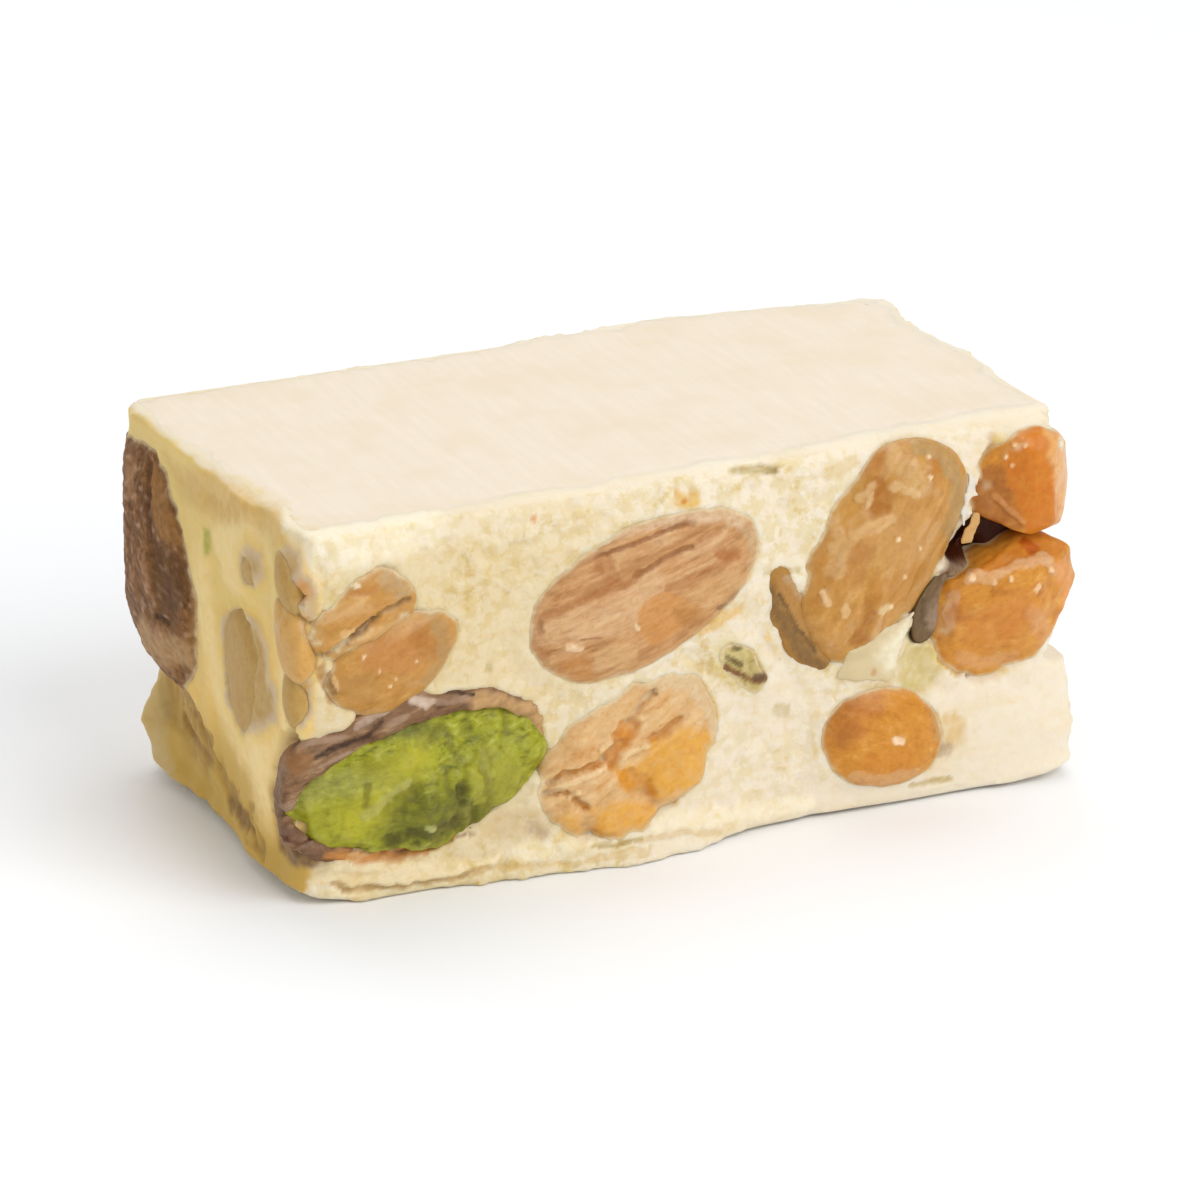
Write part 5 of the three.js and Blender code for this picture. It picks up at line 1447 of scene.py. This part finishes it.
RIGHT_BAND = ((12.5, 26.1), (10.9, 25.8), (9.1, 23.9), (7.5, 22.4), (5.4, 21.9), (7.6, 20.8), (10.8, 20.5),
              (12.8, 22.3), (13.3, 24.6))
DEEP_ZONE = ((11.9, 20.2), (8.7, 20.4), (6.0, 20.1), (5.7, 18.2), (7.3, 15.8), (11.2, 14.2), (12.6, 15.8),
             (13.1, 18.1))
bark("dark_almond", 65)
dark_nut.patch((168, 122, 66), RIGHT_BAND, 0.7, soft=1.2)
dark_nut.patch((92, 60, 22), DEEP_ZONE, 0.7, -0.15, soft=1.6)
dark_nut.mark((166, 122, 66), 2.4, 0.7, 0.05, (4.0, 19.5), (3.6, 16.4), (5.0, 13.6))
dark_nut.mark((84, 52, 26), 0.9, 0.7, -0.15, (13.0, 26.0), (13.6, 22.0), (13.2, 19.6))
dark_nut.mark((72, 46, 22), 0.5, 0.9, -0.2, (9.6, 14.2), (11.0, 13.9), (12.4, 13.8))
dark_nut.mark((190, 154, 108), 2.4, 0.8, 0, (6.0, 12.6), (9.6, 12.0), (11.6, 11.2), (15.0, 11.6))
veil(dark_nut, (176, 146, 104), 0.6, 0.5, 66)
dark_nut.done("dark_almond", "dark_skin", dark_bark)
back_nut = bark("back_almond_dark", 67)
veil(back_nut, (180, 150, 108), 0.7, 0.6, 68)
back_nut.done("back_almond_dark", "dark_skin", dark_bark)

# %% Bits of skin
curl = nuts["almond_tall_skin"]
roughen(curl, 69, 0.12, 0.06)
curl.cover((180, 132, 60), 0.8)
curl.mark((182, 136, 76), 1.3, 0.8, 0, (8.6, 19.4), (9.6, 17.0), (11.4, 14.2), (12.4, 12.8))
curl.mark((116, 90, 58), 1.3, 0.75, 0, (6.8, 19.4), (8.0, 17.0), (9.4, 14.8), (11.0, 13.0))
curl.mark((184, 154, 118), 0.9, 0.85, 0.05, (8.4, 20.3), (9.3, 19.4), (9.7, 18.8))
curl.mark((78, 62, 40), 0.3, 0.7, -0.1, (7.8, 19.2), (9.2, 16.4), (10.8, 14.2), ragged=0.2)
curl.done("almond_tall_skin", "nut_skin", thin_skin)
roughen(skin_bit, 73, 0.1, 0.05)
# dark olive-brown: partly the skin's own colour and partly painted shade, as the bit sits in shade behind the
# flap
skin_bit.cover((108, 88, 60), 0.85)
skin_bit.mark((158, 134, 114), 1.5, 0.85, 0, (22.5, 18.2), (21.9, 16.6), (20.9, 14.9), ragged=0.5)
skin_bit.mark((84, 66, 44), 0.4, 0.7, -0.1, (20.0, 16.6), (19.9, 15.2), (20.3, 14.6), ragged=0.3)
skin_bit.done("caramel_nut_skin", "nut_skin", thin_skin)

# %% Chips under a film
for node, seed in (
    ("left_almond_slab", 57), ("left_chip_round", 59), ("left_chip_high", 61), ("left_chip_low", 63)
):
    skin = nuts[node]
    roughen(skin, seed, 0.08, 0.03)
    skin.cover((190, 153, 84), 0.9)
    veil(skin, (194, 160, 98), 0.7, 0.6, seed + 1, rim=(202, 168, 108))
    skin.done(node, "pale_nut", veiled_flesh)

# %% [markdown]
# ## Flakes
# A few thin flakes of dried nougat film and of nut stand away from the cut, the largest below the steep
# almond. A flake is cut from a fine grid: the squares within an outline are kept, laid on what is under
# them, lifted off and closed into a thin soft body. It is too small to be a solid of its own. Where it
# crosses a hollow it spans it at the level of the cut.

# %% Flake helper
GRID_CELL = 0.16 * MM
FLAKE_CELL = 0.11 * MM

front_shapes = bmesh.new()
for piece in [crumb_piece] + [skin.piece for skin in nuts.values()]:
    front_shapes.from_mesh(piece.data)
front_surface = search_tree(front_shapes)


def flake(name, colour, lift, thick, outline, seed):
    """A thin torn flake over the front cut, with its outline in mm on the cut face."""
    places = np.array(outline) * MM
    low, high = places.min(0) - MM, places.max(0) + MM
    counts = ((high - low) / GRID_CELL).astype(int)
    shape = bmesh.new()
    bmesh.ops.create_grid(shape, x_segments=int(counts[0]), y_segments=int(counts[1]), size=0.5)
    flat = low + (np.array([point.co[:2] for point in shape.verts]) + 0.5) * (high - low)
    upright = np.stack((flat[:, 0], np.full(len(flat), -CUT_FACES[FRONT] * MM), flat[:, 1]), 1)
    wobble = np.stack([hills(upright, 0.8 * MM, seed + turn) for turn in (0, 1)], 1) * 0.3 * MM
    kept = area(flat + wobble, outline, soft=0.1)
    bulge = lift * MM * (0.4 + 0.6 * ease(hills(upright, 2.5 * MM, seed + 2), -0.4, 0.4))
    for point, place, rise in zip(shape.verts, upright.tolist(), bulge.tolist()):
        place = Vector(place)
        hit = front_surface.ray_cast(place + out_of_the_bar * 10 * MM, -out_of_the_bar, 20 * MM)
        level = (hit[0] - place).dot(out_of_the_bar) if hit[0] is not None else 0
        point.co = place + out_of_the_bar * max(level + rise, 0)
    outside = [point for point, share in zip(shape.verts, kept.tolist()) if share < 0.5]
    bmesh.ops.delete(shape, geom=outside, context="VERTS")
    for _ in range(4):
        bmesh.ops.smooth_vert(shape, verts=shape.verts, factor=0.5, use_axis_x=True, use_axis_y=True,
                              use_axis_z=True)
    bmesh.ops.solidify(shape, geom=shape.faces[:], thickness=thick * MM)
    bmesh.ops.recalc_face_normals(shape, faces=shape.faces)
    skin = Skin(even_skin(name, shape, FLAKE_CELL))
    skin.points = relax(skin.piece.data, skin.points, 2)
    skin.refresh()
    skin.cover(colour)
    skin.look_at(FRONT)
    skin.store("kernel", skin.points - skin.points.mean(0))
    return skin


# %% The flakes
FILM_CHIP = ((23.6, 26.9), (24.6, 26.0), (25.0, 24.8), (24.7, 24.2), (24.1, 24.3), (23.8, 22.0), (23.1, 22.0),
             (23.4, 25.2))
TAN_CHIP = ((24.3, 23.6), (25.1, 23.2), (25.0, 22.2), (24.3, 20.5), (22.9, 20.7), (23.5, 21.9))

flap = flake("white_flap", (214, 192, 150), 0.2, 0.35, FLAP, 201)
flap.mark((244, 231, 202), 2.6, 0.9, 0, (17.6, 12.8), (18.8, 14.2), (19.4, 15.8), soft=0.8)
flap.mark((196, 140, 84), 0.5, 0.8, 0, (15.8, 11.5))
film_chip = flake("white_film_chip", (234, 222, 202), 0.4, 0.22, FILM_CHIP, 204)
tan_chip = flake("tan_chip", (204, 160, 100), 0.5, 0.25, TAN_CHIP, 207)
for piece_of_film in (flap, film_chip):
    piece_of_film.done(None, "nougat", nougat_finish)
tan_chip.done(None, "toasted_almond", amber_flesh)
